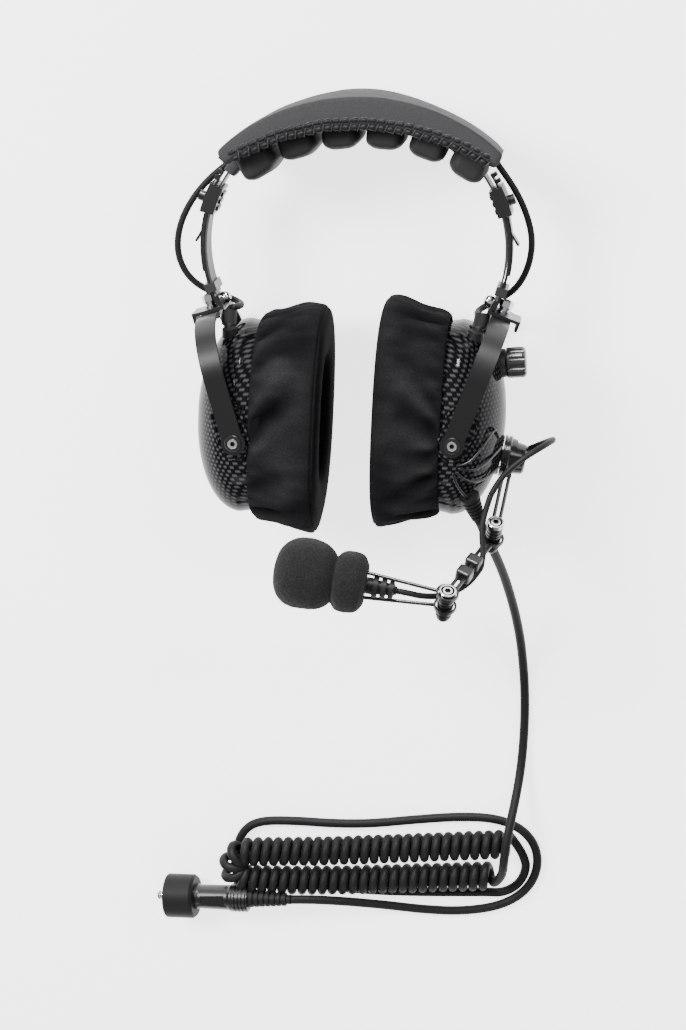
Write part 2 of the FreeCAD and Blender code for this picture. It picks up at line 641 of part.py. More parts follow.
def ear_cover():
    """The cloth cover stretched over the seal and gathered behind the rim."""
    outside = loft([(46.4, 49.6, 42.9), (43.6, 50.6, 43.6), (39.8, 51.3, 43.9), (32.0, 53.5, 44.4),
                    (24.0, 55.2, 44.8), (18.0, 54.2, 44.0), (14.6, 51.4, 41.4), (12.9, 47.0, 37.0)], 0.8)
    cloth = outside.cut(loft(seal_sections(0.1), 0.8))
    cloth = cloth.cut(oval_bore(39.7, 50, DOME_HEIGHT + 0.3, DOME_WIDTH + 0.3, 0.2))
    for face in (1, -1):
        cloth = cloth.cut(pivot_pad(face, 30.0, 42.4, 7.8))
    return cloth.cut(oval_bore(10, 41, EAR_HOLE[0] - CLOTH_T, EAR_HOLE[1] - CLOTH_T, 0.8))


def cable_boot():
    """Flat rubber boot that carries the crossover cable into the front top of the dome."""
    sections = []
    for x, y, z, half_x, half_z in ((61.9, 52.4, 5.2, 3.6, 2.3), (61.0, 46.9, 12.4, 3.6, 2.4),
                                    (60.7, 46.2, 13.2, 2.3, 2.0), (59.8, 43.2, 16.4, 2.3, 2.3)):
        ellipse = Part.Ellipse(V(x, y, z), half_x, half_z)
        wire = Part.Wire([ellipse.toShape()])
        wire.rotate(V(x, y, z), X_AXIS, 60)
        sections.append(wire)
    boot = Part.makeLoft(sections, True, True)
    collar = cone(V(59.6, 42.2, 15.6), V(60.3, 46.0, 16.4), 4.2, 3.4)
    return largest(fuse([boot, collar]).cut(dome_solid(0.0)))


# ---------------------------------------------------------------- volume knob and boom swivel
def cup_axis(base, tip):
    start, end = V(*base, 0), V(*tip, 0)
    return start, (end - start).normalize()


def volume_bushing():
    start, along = cup_axis(KNOB_BASE, KNOB_TIP)
    inside = turned([(-12.0, 0), (-12.0, 7.5), (-8.4, 7.5), (-8.4, 3.05), (2.4, 3.05), (2.4, 1.9),
                     (8.0, 1.9), (8.0, 0), (-12.0, 0)], start, along)
    flange = turned([(-4.0, 3.0), (-4.0, 7.0), (2.4, 7.0), (2.4, 3.0), (-4.0, 3.0)], start, along)
    return fuse([inside, largest(flange.cut(dome_solid(0.0)))])


def volume_knob():
    """Fluted knob with a rounded end, on the potentiometer's spindle."""
    start, along = cup_axis(KNOB_BASE, KNOB_TIP)
    body = turned([(2.7, 0), (2.7, 6.9), (3.5, 7.5), (10.0, 7.5), (11.9, 6.9, 12.5, 5.0), (12.7, 0), (2.7, 0)],
                  start, along)
    body = body.cut(cylinder(start + along * 2, start + along * 8.3, 1.96))
    flutes = []
    for step in range(FLUTES):
        flute = Part.makeCylinder(1.5, 10.0, V(4.6, 8.1, 0), X_AXIS)
        flute.rotate(NOWHERE, X_AXIS, 360 * step / FLUTES)
        flutes.append(flute)
    cutter = Part.makeCompound(flutes)
    cutter.Placement = FreeCAD.Placement(start, FreeCAD.Rotation(X_AXIS, along))
    return body.cut(cutter)


def boom_socket():
    """Fixed base of the boom swivel on the dome, with its bush."""
    start, along = cup_axis(SWIVEL_BASE, SWIVEL_TIP)
    flange = turned([(-4.0, 3.5), (-4.0, 10.2), (2.6, 10.2), (3.4, 9.6), (3.4, 3.5), (-4.0, 3.5)], start, along)
    bush = turned([(-6.0, 0), (-6.0, 6.0), (-4.4, 6.0), (-4.4, 3.55), (3.4, 3.55), (3.4, 3.0), (9.0, 3.0),
                   (9.0, 0), (-6.0, 0)], start, along)
    return fuse([largest(flange.cut(dome_solid(0.0))), bush])


def boom_hub():
    """The turning part of the swivel: two discs, a collar and a cap, clamped on the bush."""
    start, along = cup_axis(SWIVEL_BASE, SWIVEL_TIP)
    hub = turned([(3.7, 3.06), (3.7, 10.4), (4.9, 10.4), (4.9, 9.5), (5.6, 9.5), (5.6, 10.3), (7.0, 10.3),
                  (7.6, 9.4), (10.2, 9.0), (10.2, 8.0), (14.6, 7.3), (15.5, 6.3), (15.5, 0), (9.4, 0),
                  (9.4, 3.06), (3.7, 3.06)], start, along)
    slot = box((-3.4, -0.6, -9), (3.4, 0.6, 9))
    slot.Placement = FreeCAD.Placement(start + along * 17.6, FreeCAD.Rotation(X_AXIS, along))
    return hub.cut(slot)


# ---------------------------------------------------------------- boom
def stack_frame(centre):
    along = V(BOOM_AXIS)
    along.normalize()
    return centre, along


def elbow_stack(centre):
    """A friction elbow: socket screw, washer, grooved clamp discs and nut on one bolt."""
    middle, along = stack_frame(centre)
    profile = [(-10.6, 0), (-10.6, 2.9), (-9.8, 3.3), (-8.2, 3.3), (-8.2, 3.7)]
    level = -8.2
    for _ in range(7):
        profile += [(level, STACK_R), (level + 1.3, STACK_R), (level + 1.3, 3.1), (level + 1.9, 3.1)]
        level += 1.9
    profile += [(level, 4.1), (level + 0.9, 4.1), (level + 0.9, 3.6), (level + 1.3, 3.6), (level + 1.3, 4.2),
                (level + 3.0, 4.2), (level + 3.3, 3.9), (level + 3.3, 3.3), (level + 2.8, 3.1), (level + 2.8, 2.5),
                (level + 3.2, 2.3), (level + 3.2, 0), (-10.6, 0)]
    stack = turned(profile, middle, along)
    socket = hexagon(middle + along * (level + 1.9), along, 1.4, 4)
    return stack.cut(socket)


def rod_pair(start, end, apart, across=X_AXIS):
    return [cylinder(start + across * side * apart, end + across * side * apart, ROD_R) for side in (1, -1)]


def upper_rods():
    """Two rods from the swivel hub forward to the upper elbow."""
    start, along = cup_axis(SWIVEL_BASE, SWIVEL_TIP)
    hub_side = leaned(start + along * 6.4)
    root = V(hub_side.x, hub_side.y - 7.2, 6.2)
    _, axis = stack_frame(ELBOW_1)
    end = ELBOW_1 + axis * 3.4
    return root, end


def boom_upper(stack_1):
    root, end = upper_rods()
    rods = rod_pair(root, end, 1.6)
    clamp = cylinder(root - V(2.4, 0, 0), root + V(2.4, 0, 0), 2.0)
    return fuse([clamp] + rods).cut(stack_1).cut(hang(boom_hub(), 1))


def link_ends():
    _, axis = stack_frame(ELBOW_1)
    return ELBOW_1 - axis * 3.2, ELBOW_2 + axis * 4.2


def link_rods(stack_1, stack_2):
    """Two wires between the elbows, with two cable clips."""
    start, end = link_ends()
    along = (end - start).normalize()
    across = along.cross(V(BOOM_AXIS)).normalize()
    length = (end - start).Length
    rods = []
    for side in (1, -1):
        offset = across * side * 1.5
        rod = cylinder(start + offset + along * (EYE_R + 0.3), end + offset, ROD_R)
        rods.append(rod)
    clips = []
    for share in (0.42, 0.62):
        middle = start + along * (length * share)
        clip = box((-3.7, -3.3, -3.1), (3.7, 3.3, 3.1))
        clip = soften(clip, 1.2, lambda edge: True)
        clip.Placement = FreeCAD.Placement(middle, FreeCAD.Rotation(across, V(BOOM_AXIS), along, "ZYX"))
        clips.append(clip)
    _, axis = stack_frame(ELBOW_1)
    eye = ring(ELBOW_1 - axis * 4.1, ELBOW_1 - axis * 2.3, EYE_R + 1.0, EYE_R)
    body = fuse(rods + clips + [eye]).cut(stack_2)
    for route in (MIC_MID_ROUTE, MIC_TIP_ROUTE):
        body = body.cut(lowered(cord_tube("cable seat", route, MIC_CABLE_D)))
    return largest(body)


def mic_arm():
    """Two wires from the lower elbow, one each side of the mic's strain relief, to its neck band."""
    _, axis = stack_frame(ELBOW_2)
    neck = MIC_CENTRE + MIC_AXIS * 27.0
    wires = []
    for level, reach in ((6.4, 6.4), (-2.4, -6.4)):
        eye_middle = ELBOW_2 + axis * level
        heading = (neck + V(0, reach, 0) - eye_middle)
        heading.normalize()
        start = eye_middle + heading * (EYE_R + 0.6)
        wires.append(cylinder(start, neck + V(0, reach, 0), ROD_R))
        wires.append(ring(eye_middle - axis * 0.8, eye_middle + axis * 0.8, EYE_R + 1.0, EYE_R))
    band = ring(neck - MIC_AXIS * 1.6, neck + MIC_AXIS * 1.8, 7.0, 4.25)
    return fuse(wires + [band]).cut(mic_relief())


def mic_capsule():
    return turned([(-6.0, 0), (-6.0, 4.6), (-5.2, 5.4), (16.0, 5.4), (18.0, 4.2), (28.9, 4.2), (28.9, 0),
                   (-6.0, 0)], MIC_CENTRE, MIC_AXIS)


def mic_windscreen():
    """Two-lobed foam windscreen over the capsule."""
    foam = turned([(-15.7, 0), (-1.5, 16.5, 13.0, 11.4), (21.0, 14.6, 28.8, 10.6), (28.8, 7.9), (24.0, 7.9),
                   (24.0, 4.3), (18.0, 4.3), (16.05, 5.5), (-6.1, 5.5), (-6.1, 0), (-15.7, 0)],
                  MIC_CENTRE, MIC_AXIS)
    return foam


def mic_relief():
    """Ribbed rubber relief where the cable enters the mic."""
    return turned([(29.1, 0), (29.1, 4.0), (32.0, 4.0), (32.0, 5.2), (34.4, 5.2), (34.4, 3.4), (36.0, 3.4),
                   (36.0, 4.9), (38.4, 4.9), (38.4, 3.0), (39.8, 3.0), (39.8, 4.4), (41.8, 4.4), (42.6, 2.2),
                   (43.6, 2.0), (43.6, 0), (29.1, 0)], MIC_CENTRE, MIC_AXIS)


# ---------------------------------------------------------------- cords and plug
def cord_gland():
    """Ribbed rubber boot where the main lead leaves the left dome."""
    start = V(57.9, -31.4, 80.7 - MID_Z - 1.5)
    end = V(LEAD_ROUTE[0][0], LEAD_ROUTE[0][1], LEAD_ROUTE[0][2] - MID_Z)
    along = end - start
    length = along.Length
    rib_count = 6
    pitch = (length - 1.6) / rib_count
    profile = [(0, 0), (0, 5.0)]
    level = 0.8
    for index in range(rib_count):
        radius = 5.0 - 0.32 * index
        profile += [(level, radius), (level + pitch * 0.6, radius - 0.1), (level + pitch * 0.6, radius - 0.9),
                    (level + pitch, radius - 0.9)]
        level += pitch
    profile += [(length, LEAD_D / 2 + 0.3), (length, 0), (0, 0)]
    return turned(profile, start, along)


def coil_solid(name, points):
    return cord_tube(name, points, COIL_D)


def fold_points():
    """The fat coil's fold at its left end, from the lower row round to the upper row."""
    x0, y0, z0 = COIL_ROUTE_LOWER[-1]
    x1, y1, z1 = COIL_ROUTE_UPPER[0]
    radius = (y1 - y0) / 2
    return V(x0, y0, z0), V(x0 - radius, (y0 + y1) / 2, (z0 + z1) / 2), V(x1, y1, z1)


def coil_fold():
    start, middle, end = fold_points()
    path = Part.Wire([Part.Arc(start, middle, end).toShape()])
    circle = Part.Circle(start, X_AXIS, COIL_D / 2 - 0.2)
    return path.makePipeShell([Part.Wire([circle.toShape()])], True, False)


def plug_start():
    """The point on the plug's axis that its profiles are measured from."""
    along = V(PLUG_ALONG)
    along.normalize()
    return PLUG_AT + along * 97.4


def plug_shroud():
    """Rubber bell over the plug's contacts, open at its left end."""
    mouth = -105.4
    back = -89.4
    bell = turned([(mouth + 0.6, 9.6), (mouth, 10.2), (mouth, SHROUD_R - 0.5), (mouth + 0.7, SHROUD_R),
                   (back - 1.4, SHROUD_R), (back, SHROUD_R - 1.2), (back, 6.9), (back - 2.4, 6.9),
                   (back - 2.4, 9.6), (mouth + 0.6, 9.6)], plug_start(), PLUG_ALONG)
    return bell


def plug_body():
    """Moulded plug body with a blank label recess and a ribbed grip."""
    profile = [(-91.6, 0), (-91.6, 6.8), (-88.0, 6.8), (-87.0, 6.4), (-71.0, 6.75), (-69.6, 7.3), (-68.6, 7.3)]
    for index in range(4):
        level = -68.0 + 2.0 * index
        profile += [(level, 7.45), (level + 1.1, 7.45), (level + 1.1, 6.6), (level + 2.0, 6.6)]
    profile += [(-60.0, 5.0), (-60.0, 0), (-91.6, 0)]
    recess = box((-85.5, -4.2, 5.9), (-72.5, 4.2, 8))
    recess.Placement = FreeCAD.Placement(plug_start(), FreeCAD.Rotation(X_AXIS, PLUG_ALONG))
    return turned(profile, plug_start(), PLUG_ALONG).cut(recess)


def plug_contacts():
    """Four-contact plug shaft: barrel, insulating grooves and tip."""
    return turned([(-91.7, 0), (-91.7, 5.0), (-92.6, 5.0), (-92.6, SHAFT_R), (-104.6, SHAFT_R), (-104.6, 2.5),
                   (-105.6, 2.5), (-105.6, 2.45), (-108.6, 2.45), (-109.2, 1.7), (-109.8, 2.45),
                   (-110.9, 1.9, -111.3, 0.8), (-111.4, 0), (-91.7, 0)], plug_start(), PLUG_ALONG)


def plug_relief():
    """Ladder-type strain relief behind the plug."""
    profile = [(-59.9, 0), (-59.9, 5.0)]
    for index in range(7):
        level = -59.4 + 3.0 * index
        radius = 4.9 - 0.22 * index
        profile += [(level, radius), (level + 1.9, radius - 0.1), (level + 1.9, radius - 1.1),
                    (level + 3.0, radius - 1.1)]
    profile += [(RELIEF_END, 2.6), (RELIEF_END, 0), (-59.9, 0)]
    return turned(profile, plug_start(), PLUG_ALONG)


# ---------------------------------------------------------------- the whole set
def make_headband():
    keep("headband_spring", headband_spring())
    keep("headband_cover", head_cover())
    keep("headband_foam", head_foam_block().cut(band_slot()))
    keep("head_pads", head_pads())
    keep("spring_sleeves", spring_sleeves())


def make_side(side, sign):
    keep(side + "_slide_arm", to_side(slide_arm(), sign))
    keep(side + "_slide_clamp", to_side(slide_clamp(), sign))
    keep(side + "_hanger_bracket", hang(hanger_bracket(), sign))
    keep(side + "_hanger_hardware", hang(hanger_hardware(), sign))
    keep(side + "_yoke", hang(yoke(), sign))
    keep(side + "_pivot_screws", hang(pivot_screws(), sign))
    keep(side + "_dome", hang(dome(sign), sign))
    keep(side + "_baffle", hang(baffle(), sign))
    keep(side + "_speaker", hang(speaker(), sign))
    keep(side + "_foam_liner", hang(foam_liner(), sign))
    keep(side + "_ear_seal", hang(ear_seal(), sign))
    keep(side + "_ear_cover", hang(ear_cover(), sign))
    keep(side + "_cable_boot", hang(cable_boot(), sign))
    cable = lowered(cord_tube(side + "_crossover_cable", CROSS_ROUTES[side], CROSS_CABLE_D))
    for fixed in (head_cover(), head_pads(), headband_spring(), hang(cable_boot(), sign)):
        cable = largest(cable.cut(fixed))
    keep(side + "_crossover_cable", cable)


def make_boom():
    stack_1 = elbow_stack(ELBOW_1)
    stack_2 = elbow_stack(ELBOW_2)
    keep("volume_bushing", hang(volume_bushing(), 1))
    keep("volume_knob", hang(volume_knob(), 1))
    keep("boom_socket", hang(boom_socket(), 1))
    keep("boom_hub", hang(boom_hub(), 1))
    keep("boom_upper_rods", boom_upper(stack_1))
    keep("upper_elbow", stack_1)
    keep("boom_link_rods", link_rods(stack_1, stack_2))
    keep("lower_elbow", stack_2)
    keep("mic_arm", mic_arm())
    keep("mic_capsule", mic_capsule())
    keep("mic_windscreen", mic_windscreen())
    keep("mic_relief", mic_relief())
    ends = {"mic_cable_loop": hang(dome_solid(0.0), 1), "mic_cable_tip": mic_relief()}
    for name, route in (("mic_cable_loop", MIC_LOOP_ROUTE), ("mic_cable_mid", MIC_MID_ROUTE),
                        ("mic_cable_tip", MIC_TIP_ROUTE)):
        cable = lowered(cord_tube(name, route, MIC_CABLE_D))
        if name in ends:
            cable = largest(cable.cut(ends[name]))
        keep(name, cable)
    outside = [hang(dome_solid(0.0), 1), cord_gland()]
    wires = [lowered(cord_tube("signal_wire", route, WIRE_D)) for route in SIGNAL_WIRES]
    for solid in outside:
        wires = [largest(wire.cut(solid)) for wire in wires]
    keep("signal_wires", Part.makeCompound(wires))


def make_lead():
    keep("cord_gland", largest(cord_gland().cut(hang(dome_solid(0.0), 1))))
    keep("main_lead", cord_tube("main_lead", LEAD_ROUTE, LEAD_D), True)
    rows = [coil_solid("coil_lower_row", COIL_ROUTE_LOWER), coil_fold(),
            coil_solid("coil_upper_row", COIL_ROUTE_UPPER)]
    keep("curly_cord", fuse(rows), True)
    keep("tail_lead", cord_tube("tail_lead", TAIL_ROUTE, LEAD_D), True)
    keep("plug_shroud", plug_shroud(), True)
    keep("plug_body", plug_body(), True)
    keep("plug_contacts", plug_contacts(), True)
    keep("plug_relief", plug_relief(), True)


def main():
    os.makedirs("parts", exist_ok=True)
    make_headband()
    for side, sign in SIDES.items():
        make_side(side, sign)
    make_boom()
    make_lead()
    for name, shape in PARTS.items():
        shape.exportStep(f"parts/{name}.step")
    print(len(PARTS), "parts written")


if __name__ == "__main__":
    main()
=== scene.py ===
"""Looks of the aviation headset: soft parts, cords, materials, light and camera.

Lengths in the tables are millimetres in the drawing frame of the part's source, with heights above
the table, and row() turns them into metres in the row frame.
"""
import json
import math

import bpy
from mathutils import Matrix, Vector, noise


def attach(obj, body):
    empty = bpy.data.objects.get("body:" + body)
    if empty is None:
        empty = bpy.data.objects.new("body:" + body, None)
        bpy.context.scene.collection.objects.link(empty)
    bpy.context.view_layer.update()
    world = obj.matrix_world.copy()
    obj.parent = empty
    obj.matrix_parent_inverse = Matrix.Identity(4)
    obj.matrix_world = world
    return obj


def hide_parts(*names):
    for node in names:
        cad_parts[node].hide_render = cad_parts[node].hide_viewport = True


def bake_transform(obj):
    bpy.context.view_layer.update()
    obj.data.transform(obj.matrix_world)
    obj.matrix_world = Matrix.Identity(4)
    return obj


ORIGIN = Vector((4.51, 37.81, 0.0))
MID_Z = 46.5
SIDES = {"left": 1, "right": -1}
HANG_POINT = (68.0, 56.3)
HANG_LEAN = math.radians(-2.4)
PIVOT = (52.6, -4.7)
COVER_SHIFT = 4.0
COVER_DROP = 1.6
COVER_HALF_LONG = 39.25
COVER_MIDDLE = -7.25
COVER_END = 65.9
COVER_LEAN_R = 110.0
LACED_EDGES = ((32.1, 1), (-45.4, -1))
PAD_STEP = 12.7
PAD_SIZE = (18.4, 12.0, 51.6)
PAD_ARC = (89.5, 45.9)
PAD_MIDDLE = -4.25
BAND_ARC = (75.1, 76.3)
WEAVE_PER_METRE = 470.0
LEAD_WIDTH = 0.0048
COIL_R = 5.6
COIL_PITCH = 5.35

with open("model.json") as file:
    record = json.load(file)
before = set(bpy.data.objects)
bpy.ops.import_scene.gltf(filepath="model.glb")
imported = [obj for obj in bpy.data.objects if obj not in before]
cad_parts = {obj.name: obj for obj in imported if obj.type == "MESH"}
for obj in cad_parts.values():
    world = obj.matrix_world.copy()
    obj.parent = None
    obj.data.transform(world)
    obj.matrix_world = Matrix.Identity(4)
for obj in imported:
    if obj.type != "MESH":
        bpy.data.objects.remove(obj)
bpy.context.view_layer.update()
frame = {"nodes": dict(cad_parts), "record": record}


def row(x, y, z):
    """Drawing frame with the height above the table, in mm, to the row frame in metres."""
    return (Vector((x, y, z)) - ORIGIN) * 0.001


def hung(x, y, z, sign):
    """A point of an ear cup, with X outwards and Z from the middle plane, where it hangs."""
    px, py = sign * x - sign * HANG_POINT[0], y - HANG_POINT[1]
    c, s = math.cos(HANG_LEAN), math.sin(HANG_LEAN)
    return row(sign * HANG_POINT[0] + c * px - s * py, HANG_POINT[1] + s * px + c * py, z + MID_Z)


# ------------------------------------------------------------------ materials
def material(name, color, rough, metallic=0.0, coat=0.0, sheen=0.0, specular=0.5):
    mat = bpy.data.materials.new(name)
    mat.use_nodes = True
    shader = mat.node_tree.nodes["Principled BSDF"]
    shader.inputs["Base Color"].default_value = (*color, 1.0)
    shader.inputs["Roughness"].default_value = rough
    shader.inputs["Metallic"].default_value = metallic
    shader.inputs["Coat Weight"].default_value = coat
    shader.inputs["Coat Roughness"].default_value = 0.04
    shader.inputs["Coat IOR"].default_value = 1.22
    shader.inputs["Sheen Weight"].default_value = sheen
    shader.inputs["Specular IOR Level"].default_value = specular
    return mat


def edge_tint(mat, value):
    """How bright a metal is where it is seen edge on."""
    mat.node_tree.nodes["Principled BSDF"].inputs["Specular Tint"].default_value = (value, value, value, 1)


def node(mat, kind, **values):
    made = mat.node_tree.nodes.new(kind)
    for key, value in values.items():
        if key in made.inputs:
            made.inputs[key].default_value = value
        else:
            setattr(made, key, value)
    return made


def link(mat, out, into):
    mat.node_tree.links.new(out, into)


def grain(mat, scale, strength, distance=0.0004, detail=3.0, stretch=(1, 1, 1)):
    """Fine surface relief from a noise texture in object space."""
    coords = node(mat, "ShaderNodeTexCoord")
    mapping = node(mat, "ShaderNodeMapping")
    mapping.inputs["Scale"].default_value = stretch
    tex = node(mat, "ShaderNodeTexNoise", Scale=scale, Detail=detail)
    bump = node(mat, "ShaderNodeBump", Strength=strength, Distance=distance)
    link(mat, coords.outputs["Object"], mapping.inputs["Vector"])
    link(mat, mapping.outputs["Vector"], tex.inputs["Vector"])
    link(mat, tex.outputs[0], bump.inputs["Height"])
    link(mat, bump.outputs["Normal"], mat.node_tree.nodes["Principled BSDF"].inputs["Normal"])
    return tex


def tint(mat, tex, low, high, at=(0.35, 0.65)):
    """Colour varying with a texture's value."""
    ramp = node(mat, "ShaderNodeValToRGB")
    ramp.color_ramp.elements[0].position = at[0]
    ramp.color_ramp.elements[0].color = (*low, 1)
    ramp.color_ramp.elements[1].position = at[1]
    ramp.color_ramp.elements[1].color = (*high, 1)
    link(mat, tex.outputs[0], ramp.inputs["Fac"])
    link(mat, ramp.outputs["Color"], mat.node_tree.nodes["Principled BSDF"].inputs["Base Color"])


def woven_composite():
    """Clear-coated twill of black fibre tows, laid on the dome as seen from its crown, with painted sheen on
    the tows that lie over.
    """
    mat = material("woven_composite", (0.003, 0.003, 0.0034), 0.3, coat=0.45, specular=0.0)
    coords = node(mat, "ShaderNodeTexCoord")
    split = node(mat, "ShaderNodeSeparateXYZ")
    link(mat, coords.outputs["Object"], split.inputs[0])

    def math_node(operation, a, b=None):
        made = node(mat, "ShaderNodeMath", operation=operation)
        for index, value in enumerate((a, b)):
            if value is None:
                continue
            if isinstance(value, (int, float)):
                made.inputs[index].default_value = value
            else:
                link(mat, value, made.inputs[index])
        return made.outputs[0]

    out = math_node("ABSOLUTE", split.outputs["X"])
    u = math_node("MULTIPLY", split.outputs["Y"], WEAVE_PER_METRE)
    v = math_node("MULTIPLY", math_node("SUBTRACT", split.outputs["Z"], out), WEAVE_PER_METRE)
    step = math_node("ADD", math_node("FLOOR", u), math_node("FLOOR", v))
    over = math_node("LESS_THAN", math_node("FLOORED_MODULO", step, 2.0), 1.0)
    bow_u = math_node("PINGPONG", u, 0.5)
    bow_v = math_node("PINGPONG", v, 0.5)
    height = math_node("ADD", math_node("MULTIPLY", over, bow_u),
                       math_node("MULTIPLY", math_node("SUBTRACT", 1.0, over), bow_v))
    # painted sheen: the tows that lie over are paler, brightest along their middles; the twill pattern itself
    # is the fibre's own
    ramp = node(mat, "ShaderNodeValToRGB")
    ramp.color_ramp.elements[0].position = 0.0
    ramp.color_ramp.elements[0].color = (0.0015, 0.0015, 0.0017, 1)
    ramp.color_ramp.elements[1].position = 0.45
    ramp.color_ramp.elements[1].color = (0.07, 0.071, 0.075, 1)
    shade = math_node("MULTIPLY", height, math_node("ADD", math_node("MULTIPLY", over, 0.92), 0.08))
    link(mat, shade, ramp.inputs["Fac"])
    shader = mat.node_tree.nodes["Principled BSDF"]
    link(mat, ramp.outputs["Color"], shader.inputs["Base Color"])
    bump = node(mat, "ShaderNodeBump", Strength=0.35, Distance=0.0003)
    link(mat, height, bump.inputs["Height"])
    link(mat, bump.outputs["Normal"], shader.inputs["Normal"])
    return mat


def knitted_cloth():
    """Black knit: fine stitches, with painted light on the ridges of the folds and painted shade in their
    valleys.
    """
    mat = material("cloth", (0.01, 0.01, 0.011), 1.0, specular=0.04)
    knit = grain(mat, 2200, 0.5, 0.0003, 2.0)
    # painted light and shade: the relief of the folds sets the colour, paler on the ridges, darker in the
    # valleys, on the face and in the ear hole
    relief = node(mat, "ShaderNodeAttribute")
    relief.attribute_name = "relief"
    spread = node(mat, "ShaderNodeMapRange")
    for socket, value in (("From Min", -2.6), ("From Max", 3.0)):
        spread.inputs[socket].default_value = value
    link(mat, relief.outputs["Fac"], spread.inputs["Value"])
    ramp = node(mat, "ShaderNodeValToRGB")
    ramp.color_ramp.elements[0].color = (0.0015, 0.0015, 0.0016, 1)
    ramp.color_ramp.elements[1].color = (0.026, 0.026, 0.028, 1)
    middle = ramp.color_ramp.elements.new(0.45)
    middle.color = (0.009, 0.009, 0.01, 1)
    link(mat, spread.outputs[0], ramp.inputs["Fac"])
    shade = node(mat, "ShaderNodeMapRange")
    for socket, value in (("From Min", 0.3), ("From Max", 0.7), ("To Min", 0.6), ("To Max", 1.4)):
        shade.inputs[socket].default_value = value
    link(mat, knit.outputs[0], shade.inputs["Value"])
    scaled = node(mat, "ShaderNodeVectorMath", operation="SCALE")
    link(mat, ramp.outputs["Color"], scaled.inputs[0])
    link(mat, shade.outputs[0], scaled.inputs["Scale"])
    link(mat, scaled.outputs[0], mat.node_tree.nodes["Principled BSDF"].inputs["Base Color"])
    return mat


MATS = {}


def make_materials():
    MATS["spring_steel"] = material("spring_steel", (0.12, 0.12, 0.125), 0.3, metallic=1.0)
    edge_tint(MATS["spring_steel"], 0.45)
    grain(MATS["spring_steel"], 260, 0.1, 0.0001, stretch=(1, 1, 14))
    MATS["polished_steel"] = material("polished_steel", (0.5, 0.5, 0.51), 0.14, metallic=1.0)
    edge_tint(MATS["polished_steel"], 0.8)
    MATS["black_steel"] = material("black_steel", (0.004, 0.004, 0.0044), 0.34, specular=0.4)
    grain(MATS["black_steel"], 900, 0.06, 0.0001)
    MATS["yoke_steel"] = material("yoke_steel", (0.005, 0.005, 0.0055), 0.36, specular=0.26)
    grain(MATS["yoke_steel"], 1100, 0.08, 0.0001)
    MATS["gloss_black"] = material("gloss_black", (0.005, 0.005, 0.0055), 0.22, specular=0.36)
    MATS["black_plastic"] = material("black_plastic", (0.009, 0.009, 0.0095), 0.42)
    grain(MATS["black_plastic"], 1400, 0.1, 0.00008)
    MATS["gloss_composite"] = woven_composite()
    MATS["leather"] = material("leather", (0.048, 0.048, 0.05), 0.6, specular=0.03)
    grained = grain(MATS["leather"], 1100, 0.14, 0.0002)
    tint(MATS["leather"], grained, (0.045, 0.045, 0.047), (0.053, 0.053, 0.055))
    MATS["edge_leather"] = material("edge_leather", (0.012, 0.012, 0.013), 0.5, specular=0.1)
    grain(MATS["edge_leather"], 1100, 0.2, 0.0002)
    MATS["pad_leather"] = material("pad_leather", (0.03, 0.03, 0.031), 0.5, specular=0.05)
    grain(MATS["pad_leather"], 900, 0.14, 0.0002)
    MATS["foam"] = material("foam", (0.008, 0.008, 0.0085), 0.95, sheen=0.08, specular=0.15)
    open_cells = grain(MATS["foam"], 1500, 0.9, 0.0007, 5.0)
    # painted shade in the open cells: the colour follows the bump's noise and is darker in its pits
    tint(MATS["foam"], open_cells, (0.004, 0.004, 0.0045), (0.016, 0.016, 0.017))
    MATS["cloth"] = knitted_cloth()
    MATS["seal_gel"] = material("seal_gel", (0.01, 0.01, 0.01), 0.5)
    MATS["cord_rubber"] = material("cord_rubber", (0.013, 0.013, 0.0135), 0.5, specular=0.1)
    grain(MATS["cord_rubber"], 700, 0.05, 0.0001)
    MATS["knob_metal"] = material("knob_metal", (0.008, 0.008, 0.0085), 0.34)
    MATS["speaker_parts"] = material("speaker_parts", (0.01, 0.01, 0.01), 0.6)
    MATS["recess_black"] = material("recess_black", (0.004, 0.004, 0.004), 0.6, specular=0.1)
    MATS["wire_black"] = material("wire_black", (0.003, 0.003, 0.0032), 0.35, specular=0.3)
    MATS["thread"] = material("thread", (0.005, 0.005, 0.0055), 0.6)
    MATS["plug_metal"] = material("plug_metal", (0.66, 0.64, 0.6), 0.18, metallic=1.0)


def dress_frame():
    """Give each shown CAD node the material of its record slot, and smooth shading."""
    slots = {entry["node"]: entry["material_slot"] for entry in frame["record"]["subparts"]}
    special = {"plug_contacts": "plug_metal", "left_yoke": "yoke_steel", "right_yoke": "yoke_steel",
               "left_pivot_screws": "black_steel", "right_pivot_screws": "black_steel",
               "plug_body": "black_steel"}
    for name in ("boom_hub", "boom_socket", "upper_elbow", "lower_elbow", "mic_arm"):
        special[name] = "gloss_black"
    for name, obj in frame["nodes"].items():
        mat = MATS[special.get(name, slots[name])]
        if not obj.data.materials:
            obj.data.materials.append(mat)
        for index in range(len(obj.data.materials)):
            obj.data.materials[index] = mat
        obj.data.set_sharp_from_angle(angle=math.radians(32))
        for polygon in obj.data.polygons:
            polygon.use_smooth = True


def paint_faces(name, mat, chosen):
    """Another material on the faces of a CAD node whose centre, in drawing millimetres, passes a test."""
    mesh = frame["nodes"][name].data
    mesh.materials.append(mat)
    index = len(mesh.materials) - 1
    for polygon in mesh.polygons:
        if chosen(polygon.center * 1000 + ORIGIN):
            polygon.material_index = index


def off_axis(spot, middle, axis):
    """Height along an axis and distance from it."""
    arm = spot - middle
    level = arm.dot(axis)
    return level, (arm - axis * level).length


